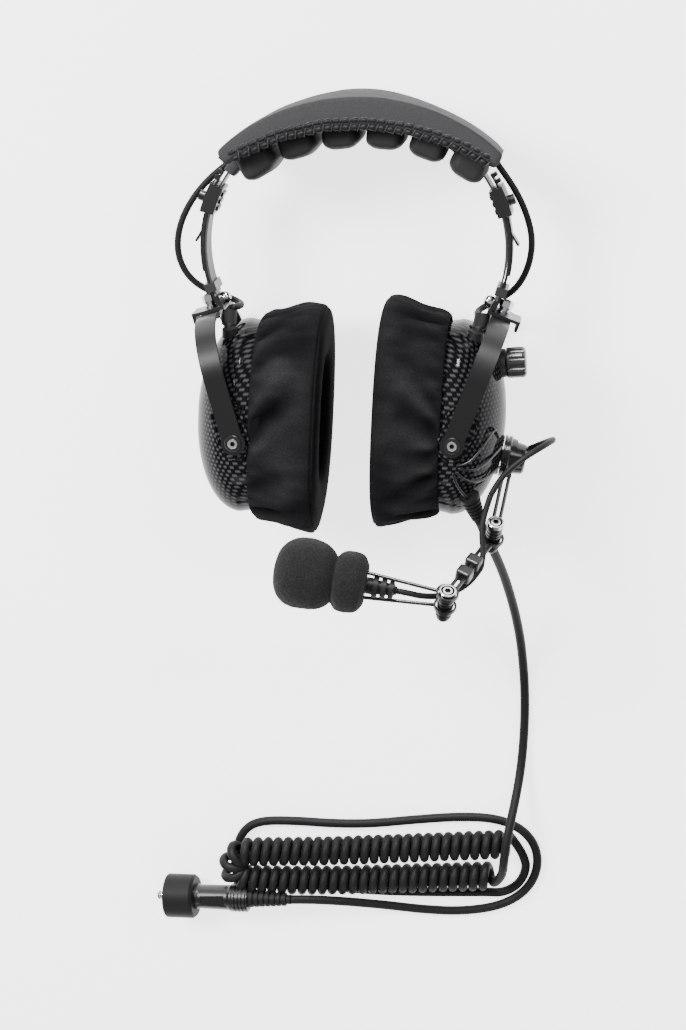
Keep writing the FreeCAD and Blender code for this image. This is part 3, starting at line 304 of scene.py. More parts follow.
def paint_metal_heads():
    """Bright screw heads on the black elbows and bright bosses on the pivots, with painted shade in their
    sockets and in a narrow ring on each elbow head.
    """
    axis = Vector((0.15, 0.857, 0.493)).normalized()
    for name, centre in (("upper_elbow", (70.1, -49.1, 82.5)), ("lower_elbow", (49.4, -74.2, 116.5))):
        middle = Vector(centre)
        paint_faces(name, MATS["polished_steel"], lambda spot: off_axis(spot, middle, axis)[0] > 6.3)

        # painted shade: the socket and a narrow ring on the head are near-black
        def in_painted_shade(spot):
            level, apart = off_axis(spot, middle, axis)
            return level > 6.9 and (apart < 1.55 or (level < 8.0 and 2.45 < apart < 3.15))

        paint_faces(name, MATS["recess_black"], in_painted_shade)
    up = Vector((0, 0, 1))
    for side, sign in SIDES.items():
        middle = hung(*PIVOT, 0, sign) * 1000 + ORIGIN
        name = side + "_pivot_screws"
        paint_faces(name, MATS["polished_steel"], lambda spot: off_axis(spot, middle, up)[1] < 2.45)
        # painted shade: near-black in the hex socket
        paint_faces(name, MATS["recess_black"], lambda spot: off_axis(spot, middle, up)[1] < 1.2)


# ------------------------------------------------------------------ mesh helpers
def add_mesh(name, verts, faces, mat, smooth=True):
    mesh = bpy.data.meshes.new(name)
    mesh.from_pydata([tuple(v) for v in verts], [], faces)
    mesh.validate()
    for polygon in mesh.polygons:
        polygon.use_smooth = smooth
    mesh.materials.append(mat)
    obj = bpy.data.objects.new(name, mesh)
    bpy.context.scene.collection.objects.link(obj)
    return obj


def apply_modifiers(obj):
    """Bake a mesh object's modifiers into its mesh."""
    bpy.context.view_layer.update()
    graph = bpy.context.evaluated_depsgraph_get()
    baked = bpy.data.meshes.new_from_object(obj.evaluated_get(graph))
    obj.modifiers.clear()
    obj.data = baked
    for polygon in baked.polygons:
        polygon.use_smooth = True


def subdivide(obj, levels):
    modifier = obj.modifiers.new("smooth", "SUBSURF")
    modifier.levels = levels
    modifier.render_levels = levels
    apply_modifiers(obj)


def grid_faces(rows, columns, closed_rows=False):
    """Quads between rings of vertices, and from the last ring to the first where the rows are closed."""
    faces = []
    for i in range(rows if closed_rows else rows - 1):
        for j in range(columns):
            a = i * columns + j
            b = i * columns + (j + 1) % columns
            c = ((i + 1) % rows) * columns + (j + 1) % columns
            d = ((i + 1) % rows) * columns + j
            faces.append((a, b, c, d))
    return faces


def capped_faces(rows, columns):
    """Quads between rings of vertices, with a face over each end."""
    faces = grid_faces(rows, columns)
    faces.append(tuple(range(columns - 1, -1, -1)))
    faces.append(tuple(range((rows - 1) * columns, rows * columns)))
    return faces


def tube(name, path, radius, mat, sides):
    """Round tube along points, with a frame carried along so that it doesn't twist."""
    verts = []
    normal = None
    for index, point in enumerate(path):
        ahead = path[min(index + 1, len(path) - 1)] - path[max(index - 1, 0)]
        ahead.normalize()
        if normal is None:
            normal = ahead.orthogonal()
        normal = (normal - ahead * normal.dot(ahead)).normalized()
        side = ahead.cross(normal)
        for k in range(sides):
            angle = 2 * math.pi * k / sides
            verts.append(point + (normal * math.cos(angle) + side * math.sin(angle)) * radius)
    return add_mesh(name, verts, capped_faces(len(path), sides), mat)


def route_points(name, points):
    """Points along the NURBS that has the route as its control points."""
    curve = bpy.data.curves.new(name, "CURVE")
    curve.dimensions = "3D"
    curve.resolution_u = 14
    spline = curve.splines.new("NURBS")
    spline.points.add(len(points) - 1)
    for point, (x, y, z) in zip(spline.points, points):
        point.co = (*row(x, y, z), 1)
    spline.order_u = 3
    spline.use_endpoint_u = True
    line = bpy.data.objects.new(name, curve)
    bpy.context.scene.collection.objects.link(line)
    bpy.context.view_layer.update()
    graph = bpy.context.evaluated_depsgraph_get()
    mesh = bpy.data.meshes.new_from_object(line.evaluated_get(graph))
    path = [v.co.copy() for v in mesh.vertices]
    bpy.data.objects.remove(line)
    return path


def path_length(path):
    return sum((b - a).length for a, b in zip(path, path[1:]))


def resample(path, step):
    """The same line with its points a step apart."""
    total = path_length(path)
    count = max(2, round(total / step))
    out = [path[0].copy()]
    travelled = 0.0
    target = total / count
    for a, b in zip(path, path[1:]):
        piece = (b - a).length
        while piece > 0 and travelled + piece >= target * len(out) - 1e-9 and len(out) < count:
            out.append(a.lerp(b, (target * len(out) - travelled) / piece))
        travelled += piece
    out.append(path[-1].copy())
    return out


def oval_point(half_height, half_width, angle, power=2.4):
    c, s = math.cos(angle), math.sin(angle)
    return (half_height * math.copysign(abs(c) ** (2 / power), c),
            half_width * math.copysign(abs(s) ** (2 / power), s))


# ------------------------------------------------------------------ ear cups
CLOTH_PROFILE = [
    (40.2, 46.6, 39.8), (40.2, 48.4, 41.6), (43.4, 48.4, 41.6), (45.9, 47.9, 41.3), (46.6, 47.7, 41.2),
    (46.1, 48.8, 42.0), (44.8, 49.7, 42.6), (43.0, 50.3, 43.1), (41.4, 50.8, 43.5), (39.8, 51.2, 43.8),
    (38.0, 51.7, 44.1), (36.0, 52.3, 44.3), (34.0, 52.9, 44.5), (32.0, 53.5, 44.6), (30.0, 54.1, 44.7),
    (28.0, 54.7, 44.8), (26.0, 55.2, 44.9), (24.0, 55.6, 44.9), (22.0, 55.9, 44.9), (20.0, 56.1, 44.9),
    (18.4, 56.1, 44.8), (17.0, 55.9, 44.7), (16.2, 55.7, 44.5), (15.6, 55.4, 44.2), (15.2, 54.1, 43.0),
    (14.8, 54.6, 43.5), (14.2, 54.0, 43.0), (13.5, 52.2, 41.4), (13.0, 49.4, 38.9), (12.7, 45.6, 35.5),
    (12.7, 41.5, 31.6), (12.9, 37.0, 27.0), (13.4, 33.4, 23.5), (14.8, 30.6, 20.7), (18.0, 29.3, 19.4),
    (24.0, 29.1, 19.2), (32.0, 29.1, 19.2), (39.0, 29.4, 19.5),
]
# painted shade: the face and the ear hole get the relief value of a shallow valley, which the cloth colour
# paints dark
FACE_PAINTED_SHADE = -1.3
# drag folds of each cover: (degrees from the top, share of the depth) at both ends, depth, width
FOLDS = {
    "right": [
        (93, 1.06, 72, 0.40, 4.6, 3.4), (58, 1.06, 46, 0.60, 2.4, 3.4),
        (36, 1.06, 20, 0.62, 3.4, 3.6), (122, 1.06, 112, 0.55, 1.8, 3.2), (146, 1.06, 136, 0.30, 3.0, 3.6),
        (162, 1.06, 156, 0.25, 2.8, 3.4), (10, 1.06, 8, 0.45, 2.4, 3.4),
    ],
    "left": [
        (82, 1.06, 68, 0.66, 2.8, 2.8), (91, 1.06, 82, 0.50, 3.8, 3.0), (100, 1.06, 101, 0.60, 3.0, 2.8),
        (111, 1.06, 122, 0.45, 2.2, 3.2), (62, 1.06, 60, 0.45, 1.8, 3.4), (34, 1.06, 36, 0.40, 2.0, 3.4),
        (148, 1.06, 144, 0.30, 2.8, 3.6), (16, 1.06, 22, 0.30, 2.6, 3.4),
    ],
}


def fold_height(angle, along, folds):
    """Height of the drag folds, each a valley between two soft ridges, at a point of the cloth."""
    total = 0.0
    here = Vector((abs(math.degrees(angle)), along * 40))
    for a0, s0, a1, s1, depth, width in folds:
        start, line = Vector((a0, s0 * 40)), Vector((a1 - a0, (s1 - s0) * 40))
        share = min(1.0, max(0.0, (here - start).dot(line) / line.length_squared))
        spread = width * (1 + 0.6 * share)
        apart = (here - start - line * share).length / spread
        valley = math.exp(-apart ** 1.5)
        ridges = 0.62 * math.exp(-((apart - 1.9) / 1.0) ** 2)
        total += depth * (1 - 0.7 * share) * (ridges - valley)
    return total


def cloth_relief(x, angle, side):
    """How far the cloth stands out: folds from the gathered rim, slack, gathers and a pointed corner."""
    seed = 1.7 if side == "left" else 5.3
    along = (x - 13.0) / 33.0
    place = Vector((math.cos(angle) * 2.2, math.sin(angle) * 2.2, x * 0.03 + seed))
    slack = noise.noise(Vector((place.x * 1.3, place.y * 1.3, x * 0.05 + seed))) * 2.2
    fine = noise.noise(Vector((place.x * 5.0, place.y * 5.0, x * 0.09 + seed * 3))) * 1.0
    gathers = math.sin(angle * 46 + 5 * noise.noise(place * 1.7)) * 0.5 * max(0.0, (x - 36) / 10)
    body = math.sin(math.pi * min(1.0, max(0.0, along + 0.05))) ** 0.7
    folds = fold_height(angle, along, FOLDS[side]) * min(1.0, max(0.0, along * 2.2))
    folds *= 1.0 if x < 42 else max(0.0, (46.6 - x) / 4.6)
    corner = 2.0 * math.exp(-((x - 15.0) / 4.5) ** 2) * math.exp(-((abs(angle) - math.pi) / 0.3) ** 2)
    return (slack + fine) * body + folds + gathers * 0.7 + corner


def rest_on_table(obj, clearance=0.0003):
    """Flatten a soft piece where it would go below the table."""
    for vertex in obj.data.vertices:
        vertex.co.z = max(vertex.co.z, clearance)


def ear_cloth(side, sign):
    """Knitted cover over the ear seal, gathered behind the dome's rim, with its face seam."""
    columns = 220
    verts, lifts = [], []
    for x, height, width in CLOTH_PROFILE:
        for j in range(columns):
            angle = 2 * math.pi * j / columns
            signed = angle if angle <= math.pi else angle - 2 * math.pi
            outer = height > 48.6 and x > 13.6
            lift = cloth_relief(x, signed, side) if outer else 0.0
            y, z = oval_point(height + lift, width + lift, angle)
            verts.append(hung(x, y + 0.8, z, sign))
            lifts.append(lift if outer else FACE_PAINTED_SHADE)
    faces = grid_faces(len(CLOTH_PROFILE), columns, closed_rows=True)
    cloth = add_mesh(side + "_ear_cloth", verts, faces, MATS["cloth"])
    # the relief is stored for the cloth colour, which paints light on the ridges and shade in the valleys
    cloth.data.attributes.new("relief", "FLOAT", "POINT").data.foreach_set("value", lifts)
    subdivide(cloth, 1)
    rest_on_table(cloth)
    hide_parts(side + "_ear_cover", side + "_ear_seal")
    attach(cloth, side + "_cup")


def foam_disc(side, sign):
    """Thin open-cell foam over the sound holes, dimpled and a little crowned."""
    rings, columns = 16, 72
    verts = []
    for face in (0, 1):
        for i in range(rings):
            share = 1 - i / rings if face == 0 else (i + 1) / rings
            for j in range(columns):
                angle = 2 * math.pi * j / columns
                y, z = oval_point(28.6 * share, 18.6 * share, angle, 2.4)
                relief = noise.noise(Vector((y * 0.35, z * 0.35, 3.0))) * 0.35 + 0.5 * (1 - share ** 4)
                x = 37.4 - relief if face == 0 else 39.5
                verts.append(hung(x, y, z, sign))
    faces = grid_faces(2 * rings, columns, closed_rows=True)
    disc = add_mesh(side + "_foam_disc", verts, faces, MATS["foam"])
    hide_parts(side + "_foam_liner")
    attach(disc, side + "_cup")


# ------------------------------------------------------------------ headband
def arc_height(x, top, radius):
    """Height at x of an arc with its highest point at x = 0."""
    return top - radius + math.sqrt(radius ** 2 - x ** 2)


def cover_outer(x):
    return arc_height(x, 160.4, 96.8)


def cover_under(x):
    return arc_height(x, 145.6, 122.5)


def cover_ring(x, inset):
    """Cross-section of the cover at x: flat front and back faces, a folded top edge and a soft lower edge."""
    top, under = cover_outer(x), cover_under(x)
    half_thick = max(0.4, (top - under) / 2 - inset)
    middle = (top + under) / 2
    half_long = COVER_HALF_LONG - inset
    slope = math.atan2(x, COVER_LEAN_R)
    ring = []
    corners = ((1, 1, 1.5), (-1, 1, 1.5), (-1, -1, 3.4), (1, -1, 3.4))
    for index, (side, level, radius) in enumerate(corners):
        radius = min(radius, half_thick * 0.9)
        for k in range(7):
            angle = math.pi / 2 * (index + k / 6)
            w = side * (half_long - radius) + radius * math.cos(angle)
            t = level * (half_thick - radius) + radius * math.sin(angle)
            ring.append((w, t))
        nearby, far = corners[index], corners[(index + 1) % 4]
        if index in (0, 2):
            span = 2 * half_long - nearby[2] - far[2]
            for k in range(1, 14):
                w = side * (half_long - nearby[2] - span * k / 14)
                ring.append((w, level * half_thick))
        else:
            rise = 2 * half_thick - nearby[2] - far[2]
            for k in range(1, 6):
                t = level * (half_thick - nearby[2] - rise * k / 6)
                ring.append((side * half_long, t))
    out = []
    for w, t in ring:
        lift = 0.9 * (1 - (w / half_long) ** 2) if t > 0 else 0.0
        back = (half_long - w) / (2 * half_long)
        sag = 2.0 + 4.4 / (1 + math.exp(-(x - 14) / 9))
        lift -= sag * back * (0.5 + t / (2 * half_thick))
        puff = 0.7 * (1 - (t / half_thick) ** 2)
        w += math.copysign(puff, w) if abs(w) > half_long - 0.6 else 0.0
        t += lift
        out.append((x + t * math.sin(slope), middle + t * math.cos(slope), w + COVER_MIDDLE))
    return out


def head_cover():
    """Leather head cover: crowned bar with blunt rounded ends."""
    rows = []
    steps = 46
    for i in range(-3, steps + 4):
        share = min(max(i, 0), steps) / steps * 2 - 1
        over = max(0, -i, i - steps)
        x = share * (COVER_END - 1.2)
        inset = (0.0, 0.7, 1.9, 3.6)[over]
        x += math.copysign((0.0, 0.75, 1.15, 1.3)[over], share)
        rows.append(cover_ring(x, inset))
    verts = []
    for ring in rows:
        for x, y, z in ring:
            relief = 0.35 * noise.noise(Vector((x * 0.05, y * 0.05, z * 0.09)))
            verts.append(row(x + COVER_SHIFT, y + relief - COVER_DROP, z + MID_Z))
    cover = add_mesh("head_cover", verts, capped_faces(len(rows), len(rows[0])), MATS["leather"])
    subdivide(cover, 1)
    rest_on_table(cover)
    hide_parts("headband_cover", "headband_foam")
    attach(cover, "headband")


def head_tongue():
    """Leather sleeve under the cover that holds the spring band, down to its two tabs."""
    verts = []
    steps, columns = 60, 24
    for i in range(steps + 1):
        angle = math.radians(35.6 + (180 - 71.2) * i / steps)
        for j in range(columns):
            turn = 2 * math.pi * j / columns
            w = 10.4 * math.copysign(abs(math.cos(turn)) ** 0.35, math.cos(turn))
            t = 3.2 * math.copysign(abs(math.sin(turn)) ** 0.55, math.sin(turn))
            radius = BAND_ARC[0] + t
            verts.append(row(radius * math.cos(angle), BAND_ARC[1] + radius * math.sin(angle), w + MID_Z))
    tongue = add_mesh("head_tongue", verts, capped_faces(steps + 1, columns), MATS["leather"])
    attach(tongue, "headband")


def head_pad(index):
    """One crowned pad, pulled in between its corners, sewn to the cover."""
    angle = math.radians((index - 2.5) * PAD_STEP)
    wide, deep, long = PAD_SIZE
    columns, levels = 48, 12
    verts = []
    for level in range(levels + 1):
        share = level / levels
        swell = 1.0 - 0.05 * (1 - math.sin(math.pi * min(1.0, share * 1.1)))
        round_off = math.sqrt(max(0.0, 1 - max(0.0, 1 - share * 3.4) ** 2.2))
        for j in range(columns):
            turn = 2 * math.pi * j / columns
            y, z = oval_point(1.0, 1.0, turn, 5.0)
            w = y * (wide / 2 - 3.6 * (1 - round_off)) * swell
            l = z * (long / 2 - 4.0 * (1 - round_off)) * swell
            crown = 1.1 * (1 - (w / (wide / 2)) ** 2) * (1 - (l / (long / 2)) ** 2) if level == 0 else 0.0
            verts.append((w, deep * share - crown, l))
    base = len(verts)
    rings = 5
    for ring in range(1, rings + 1):
        shrink = 1 - ring / (rings + 0.4)
        for j in range(columns):
            x, y, z = verts[j]
            px, pz = x * shrink, z * shrink
            crown = 1.25 * (1 - (px / (wide / 2)) ** 2) * (1 - (pz / (long / 2)) ** 2)
            verts.append((px, -crown, pz))
    faces = grid_faces(levels + 1, columns)
    for ring in range(rings):
        near = 0 if ring == 0 else base + (ring - 1) * columns
        far = base + ring * columns
        for j in range(columns):
            faces.append((near + (j + 1) % columns, near + j, far + j, far + (j + 1) % columns))
    faces.append(tuple(range(base + (rings - 1) * columns, base + rings * columns)))
    faces.append(tuple(range(levels * columns, (levels + 1) * columns))[::-1])
    c, s = math.cos(-angle), math.sin(-angle)
    placed = []
    for x, y, z in verts:
        relief = 0.3 * noise.noise(Vector((x * 0.12, z * 0.07, index * 3.1)))
        radius = PAD_ARC[0] + y - relief + 0.6
        height = PAD_ARC[1] - COVER_DROP - 0.8
        middle = z + PAD_MIDDLE + MID_Z
        placed.append(row(COVER_SHIFT + c * x - s * radius, height + s * x + c * radius, middle))
    pad = add_mesh(f"head_pad_{index + 1}", placed, faces, MATS["pad_leather"])
    subdivide(pad, 1)
    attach(pad, "headband")
    return pad


def bead(verts, faces, centre, along, up, out, sizes):
    """One small ellipsoid, added to the lists."""
    start = len(verts)
    rings, columns = 7, 10
    for i in range(rings):
        tilt = math.pi * (i + 0.5) / rings
        for j in range(columns):
            turn = 2 * math.pi * j / columns
            spot = (along * (math.cos(tilt) * sizes[0]) + up * (math.sin(tilt) * math.cos(turn) * sizes[1])
                    + out * (math.sin(tilt) * math.sin(turn) * sizes[2]))
            verts.append(row(*(centre + spot)))
    for face in capped_faces(rings, columns):
        faces.append(tuple(start + index for index in face))


def lacing():
    """Laced lower edges of the cover: a scalloped rolled edge, with thread over it and a row above."""
    rolls, roll_faces, threads, thread_faces = [], [], [], []
    for edge_z, lean in LACED_EDGES:
        out = Vector((0, 0, lean))
        count = 28
        for i in range(count):
            x = -62.6 + 125.2 * (i + 0.5) / count
            top, under = cover_outer(x), cover_under(x)
            half = (top - under) / 2
            slope = math.atan2(x, COVER_LEAN_R)
            along = Vector((math.cos(slope), -math.sin(slope), 0))
            up = Vector((math.sin(slope), math.cos(slope), 0))
            wave = 0.5 * noise.noise(Vector((x * 0.09, lean * 3.0, 0.0)))
            foot = Vector((x + COVER_SHIFT, (top + under) / 2 - COVER_DROP, edge_z + MID_Z))
            foot += up * (wave + 0.9 - half)
            bead(rolls, roll_faces, foot, along, up, out, (2.35, 1.55, 1.5))
            cross = (up * 0.9 + along * 0.4).normalized()
            bead(threads, thread_faces, foot + along * 2.25 + out * 0.5, cross, along, out, (2.1, 0.45, 1.2))
            if lean < 0 and x > 10:
                continue  # the sagging cover is too thin there for the upper row
            upper = foot + up * 3.3 + out * 0.45
            bead(rolls, roll_faces, upper - up * 0.2, along, up, out, (2.2, 1.0, 0.7))
            bead(threads, thread_faces, upper + up * 0.9, (along + up * 0.16).normalized(), up, out,
                 (2.1, 0.36, 0.5))
            slant = (up + along * 0.5).normalized()
            bead(threads, thread_faces, upper + along * 2.2 - up * 0.4, slant, along, out, (1.5, 0.36, 0.75))
    rolled = add_mesh("cover_rolled_edge", rolls, roll_faces, MATS["edge_leather"])
    stitches = add_mesh("cover_lacing", threads, thread_faces, MATS["thread"])
    for obj in (rolled, stitches):
        rest_on_table(obj)
        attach(obj, "headband")


# ------------------------------------------------------------------ microphone
def windscreen():
    """Two-lobed foam windscreen with an open-cell skin."""
    centre = row(-16.8, -62.1, 116.5)
    along = Vector((0.9866, -0.163, 0.0)).normalized()
    up = Vector((0, 0, 1))
    side = up.cross(along)
    profile = []
    for step in range(0, 61):
        x = -15.7 + 44.6 * step / 60
        first = 16.9 * max(0.0, 1 - abs(x / 15.75) ** 2.5) ** (1 / 2.5)
        second = 14.9 * max(0.0, 1 - abs((x - 20.7) / 8.6) ** 3.0) ** (1 / 3.0)
        profile.append((x, max(first, second, 0.3 if x < 0 else 9.6)))
    profile += [(28.6, 8.2), (26.5, 7.8), (24.0, 7.6)]
    columns = 96
    verts = []
    for x, r in profile:
        for j in range(columns):
            turn = 2 * math.pi * j / columns
            out = side * math.cos(turn) + up * math.sin(turn)
            spot = along * x + out * r
            rough = (noise.noise(spot * 0.55) * 0.22 + noise.noise(spot * 1.6) * 0.16
                     + noise.noise(spot * 0.09) * 0.4)
            verts.append(centre + (spot + out * rough) * 0.001)
    foam = add_mesh("windscreen_foam", verts, capped_faces(len(profile), columns), MATS["foam"])
    subdivide(foam, 1)
    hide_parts("mic_windscreen")
    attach(foam, "boom_end")


# ------------------------------------------------------------------ cords
LEAD_ROUTE = [
    (62.7, -44.5, 74.5), (65.8, -53.6, 69.0), (69.0, -63.0, 60.5), (73.8, -79.5, 44.5),
    (78.7, -102.5, 26.0), (81.9, -123.4, 12.5), (83.4, -140.4, 5.0), (84.4, -155.0, 2.5),
    (84.6, -171.6, 2.5), (83.9, -188.0, 2.5), (82.6, -201.5, 5.5), (80.7, -212.5, 12.0),
    (78.6, -222.5, 18.4), (76.8, -232.5, 22.6), (75.6, -243.0, 22.6), (75.0, -250.8, 18.4),
    (74.8, -256.6, 14.0),
]
COIL_ROUTE = [
    (75.6, -256.6, 8.2), (20.0, -260.8, 8.2), (-18.0, -262.6, 10.6), (-60.0, -262.8, 13.6),
    (-67.2, -261.6, 13.8), (-70.0, -254.7, 13.8), (-67.2, -247.8, 13.8),
    (-60.0, -246.6, 13.6), (-38.0, -246.6, 11.2), (-8.0, -246.0, 8.2), (79.0, -238.6, 8.2),
]
TAIL_ROUTE = [
    (75.5, -235.2, 3.6), (82.2, -240.8, 2.45), (86.6, -248.3, 2.45), (86.6, -257.0, 2.45),
    (82.2, -264.5, 2.45), (74.7, -268.9, 2.45), (66.0, -268.9, 2.45), (52.0, -269.6, 2.45),
    (32.0, -270.4, 2.45), (10.0, -270.8, 2.45), (-8.0, -270.2, 2.45), (-24.0, -268.6, 2.45),
    (-40.0, -266.9, 2.45), (-57.0, -266.2, 2.45), (-65.7, -259.9, 2.45), (-69.0, -249.7, 2.45),
    (-65.7, -239.5, 2.45), (-57.0, -233.2, 2.45), (-38.0, -232.4, 2.45), (-16.4, -233.2, 2.45),
    (4.0, -232.4, 2.45), (26.6, -229.2, 2.45), (51.0, -226.4, 2.45), (70.5, -226.6, 2.45),
    (84.5, -232.0, 2.45), (92.4, -242.5, 2.45), (93.0, -256.0, 2.45), (86.4, -268.2, 2.45),
    (73.4, -276.6, 2.45), (53.3, -280.6, 2.45), (32.0, -280.4, 2.6), (14.0, -277.6, 5.6),
    (-1.0, -274.4, 11.0), (-14.0, -271.8, 16.0), (-26.0, -270.4, 18.9), (-37.6, -270.5, 19.9),
]
CROSS_ROUTES = {
    "right": [(-57.5, 127.2, 38.5), (-66.0, 121.4, 38.5), (-75.2, 113.4, 38.5), (-83.4, 103.0, 38.5),
              (-88.8, 91.0, 38.5), (-90.0, 78.4, 38.0), (-85.8, 67.6, 37.2), (-78.2, 60.8, 35.8),
              (-70.0, 57.4, 33.6), (-62.8, 55.0, 33.6), (-58.0, 53.6, 38.4), (-57.6, 53.4, 45.4),
              (-60.6, 53.8, 51.0)],
    "left": [(65.0, 127.0, 38.5), (72.0, 117.8, 38.5), (78.0, 108.4, 38.5), (82.4, 98.4, 38.5),
             (84.8, 88.2, 38.0), (84.2, 78.4, 37.4), (81.4, 69.6, 36.4), (76.8, 62.4, 34.8),
             (70.4, 57.6, 32.6), (63.6, 54.4, 33.2), (59.0, 52.2, 38.2), (58.8, 51.0, 45.2),
             (61.8, 50.4, 50.8)],
}
MIC_LOOP_ROUTE = [
    (66.0, -24.4, 33.0), (72.4, -23.6, 30.6), (79.2, -21.2, 30.2), (86.0, -17.6, 32.4),
    (92.0, -13.8, 37.6), (96.2, -10.4, 45.4), (97.6, -8.0, 54.6), (95.8, -7.6, 63.2),
    (91.0, -9.2, 70.0), (84.4, -12.6, 74.4), (77.6, -17.6, 77.5), (72.0, -23.4, 80.0),
    (68.4, -30.0, 82.4),
]
MIC_MID_ROUTE = [
    (68.4, -30.0, 82.4), (66.2, -36.6, 84.4), (64.8, -43.2, 87.2), (64.9, -50.0, 89.4), (66.0, -56.6, 91.6),
    (64.8, -62.6, 95.0),
]
MIC_TIP_ROUTE = [
    (64.8, -62.6, 95.0), (61.2, -67.6, 99.2), (55.6, -71.2, 103.2), (49.4, -73.0, 107.2),
    (43.2, -73.0, 111.4), (37.0, -71.8, 114.8), (31.4, -70.1, 116.4), (26.2, -69.2, 116.5),
]
SIGNAL_WIRES = [
    [(52.0, -14.4, 88.2), (56.5, -14.2, 88.0), (61.8, -9.6, 84.0), (66.6, -3.4, 76.5),
     (70.4, 0.6, 66.0), (72.6, -3.2, 56.0)],
    [(53.0, -15.8, 88.6), (57.6, -17.2, 87.0), (63.2, -17.0, 81.0), (68.4, -13.8, 72.0),
     (72.4, -11.0, 61.0)],
    [(52.0, -17.4, 88.8), (55.2, -21.4, 87.0), (60.4, -24.2, 81.6), (66.4, -23.6, 73.0),
     (71.6, -20.6, 62.0)],
    [(50.6, -17.8, 89.0), (51.6, -23.0, 87.6), (54.6, -28.4, 84.6), (57.6, -32.6, 81.4)],
]


def coil_path():
    """Helix of the curly part: rotation about the folded axis, top first."""
    axis = resample(route_points("coil_axis", COIL_ROUTE), 0.00044)
    total = path_length(axis)
    turns = round(total * 1000 / COIL_PITCH - 0.5) + 0.5
    path = []
    for index, point in enumerate(axis):
        ahead = axis[min(index + 1, len(axis) - 1)] - axis[max(index - 1, 0)]
        ahead.normalize()
        up = (Vector((0, 0, 1)) - ahead * ahead.z).normalized()
        side = ahead.cross(up)
        angle = -2 * math.pi * turns * index / (len(axis) - 1)
        path.append(point + (up * math.cos(angle) + side * math.sin(angle)) * COIL_R * 0.001)
    return path


def join_smooth(first, second, reach=6):
    """Two lines made one, eased where they meet."""
    line = first + second
    joint = len(first)
    for _ in range(12):
        eased = [p.copy() for p in line]
        for k in range(joint - reach, joint + reach):
            eased[k] = (line[k - 1] + line[k] * 2 + line[k + 1]) / 4
        line = eased
    return line


def main_cord():
    """The whole lead: straight part, curly part and tail to the plug, in one piece."""
    start = route_points("lead_line", LEAD_ROUTE)
    coil = coil_path()
    tail = route_points("tail_line", TAIL_ROUTE)
    while (tail[0] - coil[-1]).length < 0.006 or tail[0].x < coil[-1].x + 0.002:
        tail.pop(0)
    step = 0.0016
    # the lead and the coil are cut back a little where they meet, and the join is eased
    line = join_smooth(resample(start[:-2], step), resample(coil[14:], step))
    line = join_smooth(line, resample(tail, step))
    cord = tube("main_cord", line, LEAD_WIDTH / 2, MATS["cord_rubber"], 14)
    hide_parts("main_lead", "curly_cord", "tail_lead")
    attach(cord, "left_cup")


def held_cord(name, points, diameter, nodes):
    """Cord along a route whose two ends lie on the object; the diameter is in mm."""
    line = resample(route_points(name, points), 0.0012)
    cord = tube(name, line, diameter / 2000, MATS["cord_rubber"], 12)
    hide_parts(*nodes)
    return cord


def cables():
    for side in SIDES:
        route = CROSS_ROUTES[side]
        cable = held_cord(side + "_crossover", route, 3.3, [side + "_crossover_cable"])
        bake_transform(cable)
    for name, route, a, b, node_name in (
            ("mic_cable_a", MIC_LOOP_ROUTE, "left_cup", "boom_base", "mic_cable_loop"),
            ("mic_cable_b", MIC_MID_ROUTE, "boom_base", "boom_link", "mic_cable_mid"),
            ("mic_cable_c", MIC_TIP_ROUTE, "boom_link", "boom_end", "mic_cable_tip")):
        cable = held_cord(name, route, 3.0, [node_name])
        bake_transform(cable)
    wires = []
    for index, route in enumerate(SIGNAL_WIRES):
        line = resample(route_points("wire", route), 0.0009)
        wires.append(tube(f"signal_wire_{index + 1}", line, 0.00065, MATS["wire_black"], 8))
    for wire in wires:
        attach(wire, "left_cup")
    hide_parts("signal_wires")


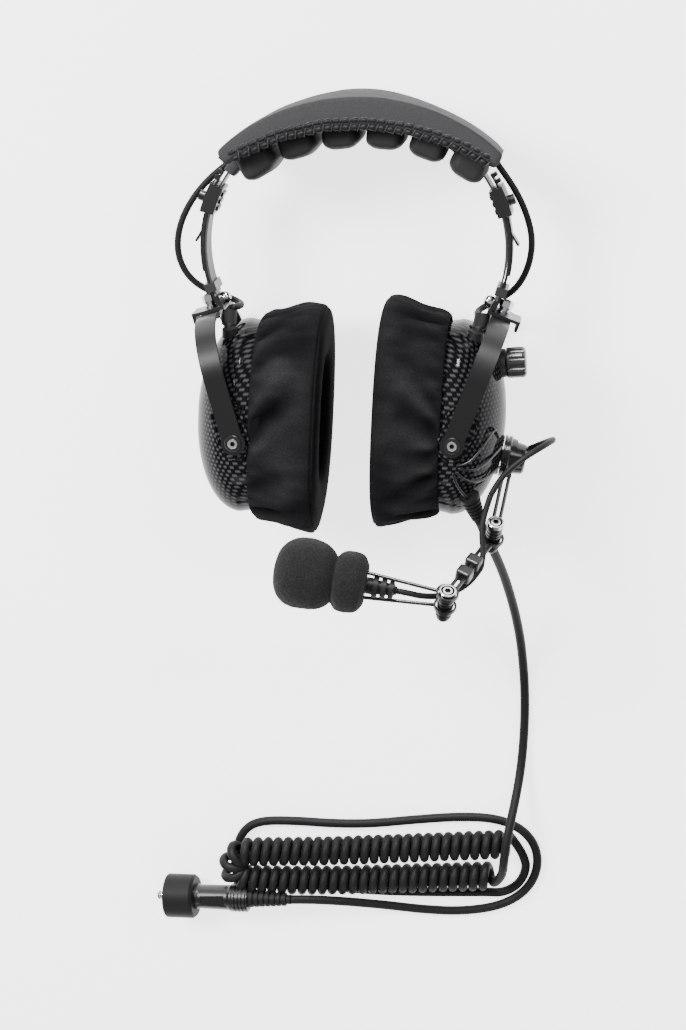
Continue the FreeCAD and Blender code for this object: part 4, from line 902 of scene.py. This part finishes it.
# ------------------------------------------------------------------ stage
def make_stage():
    floor = material("floor_paper", (0.93, 0.93, 0.93), 0.8, specular=0.1)
    floor.node_tree.nodes["Principled BSDF"].inputs["Emission Color"].default_value = (1, 1, 1, 1)
    floor.node_tree.nodes["Principled BSDF"].inputs["Emission Strength"].default_value = 2.6
    size = 3.0
    plane = add_mesh("floor", [(-size, -size, 0), (size, -size, 0), (size, size, 0), (-size, size, 0)],
                     [(0, 1, 2, 3)], floor, False)
    plane.location = (0, 0, -0.0004)
    plane.visible_diffuse = False
    world = bpy.data.worlds.new("studio")
    bpy.context.scene.world = world
    world.use_nodes = True
    nodes = world.node_tree.nodes
    coords = nodes.new("ShaderNodeTexCoord")
    split = nodes.new("ShaderNodeSeparateXYZ")
    ramp = nodes.new("ShaderNodeValToRGB")
    ramp.color_ramp.elements[0].position = 0.02
    ramp.color_ramp.elements[0].color = (0.8, 0.8, 0.8, 1)
    ramp.color_ramp.elements[1].position = 0.3
    ramp.color_ramp.elements[1].color = (0.22, 0.22, 0.225, 1)
    for place, value in ((0.7, 0.25), (0.93, 0.75)):
        stop = ramp.color_ramp.elements.new(place)
        stop.color = (value, value, value, 1)
    world.node_tree.links.new(coords.outputs["Generated"], split.inputs[0])
    world.node_tree.links.new(split.outputs["Z"], ramp.inputs["Fac"])
    world.node_tree.links.new(ramp.outputs["Color"], nodes["Background"].inputs["Color"])
    nodes["Background"].inputs["Strength"].default_value = 1.0
    for name, spot, target, size_x, size_y, power in (
            ("key", (-0.85, 0.6, 1.2), (0, 0, 0), 0.5, 0.5, 40),
            ("fill", (0.95, 0.75, 1.25), (0, -0.05, 0), 0.4, 0.55, 12),
            ("window", (0.0, 1.05, 0.66), (0, 0, 0.05), 0.42, 0.26, 60),
            ("rim", (0.0, -1.5, 1.0), (0, 0, 0), 1.4, 0.4, 9)):
        light = bpy.data.lights.new(name, "AREA")
        light.shape = "RECTANGLE"
        light.size = size_x
        light.size_y = size_y
        light.energy = power
        lamp = bpy.data.objects.new(name, light)
        lamp.location = spot
        lamp.rotation_euler = (Vector(target) - Vector(spot)).to_track_quat("-Z", "Y").to_euler()
        lamp.visible_diffuse = name != "window"
        bpy.context.scene.collection.objects.link(lamp)


def make_camera():
    """Camera above the table, tipped a little towards the headband."""
    pitch, turn = math.radians(14.5), math.radians(6.0)
    back = Vector((math.sin(turn) * math.cos(pitch), math.sin(pitch), math.cos(turn) * math.cos(pitch)))
    right = Vector((math.cos(turn), 0, -math.sin(turn)))
    up = back.cross(right)
    target = row(-6.75, -51.0, 46.5)
    data = bpy.data.cameras.new("camera")
    data.lens = 87.4
    data.clip_start = 0.05
    camera = bpy.data.objects.new("camera", data)
    turned = Matrix((right, up, back)).transposed().to_4x4()
    camera.matrix_world = Matrix.Translation(target + back * 1.25) @ turned
    bpy.context.scene.collection.objects.link(camera)
    bpy.context.scene.camera = camera


make_materials()
dress_frame()
paint_metal_heads()
for side, sign in SIDES.items():
    ear_cloth(side, sign)
    foam_disc(side, sign)
head_cover()
head_tongue()
pads = [head_pad(index) for index in range(6)]
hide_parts("head_pads")
lacing()
windscreen()
main_cord()
cables()
make_stage()
make_camera()
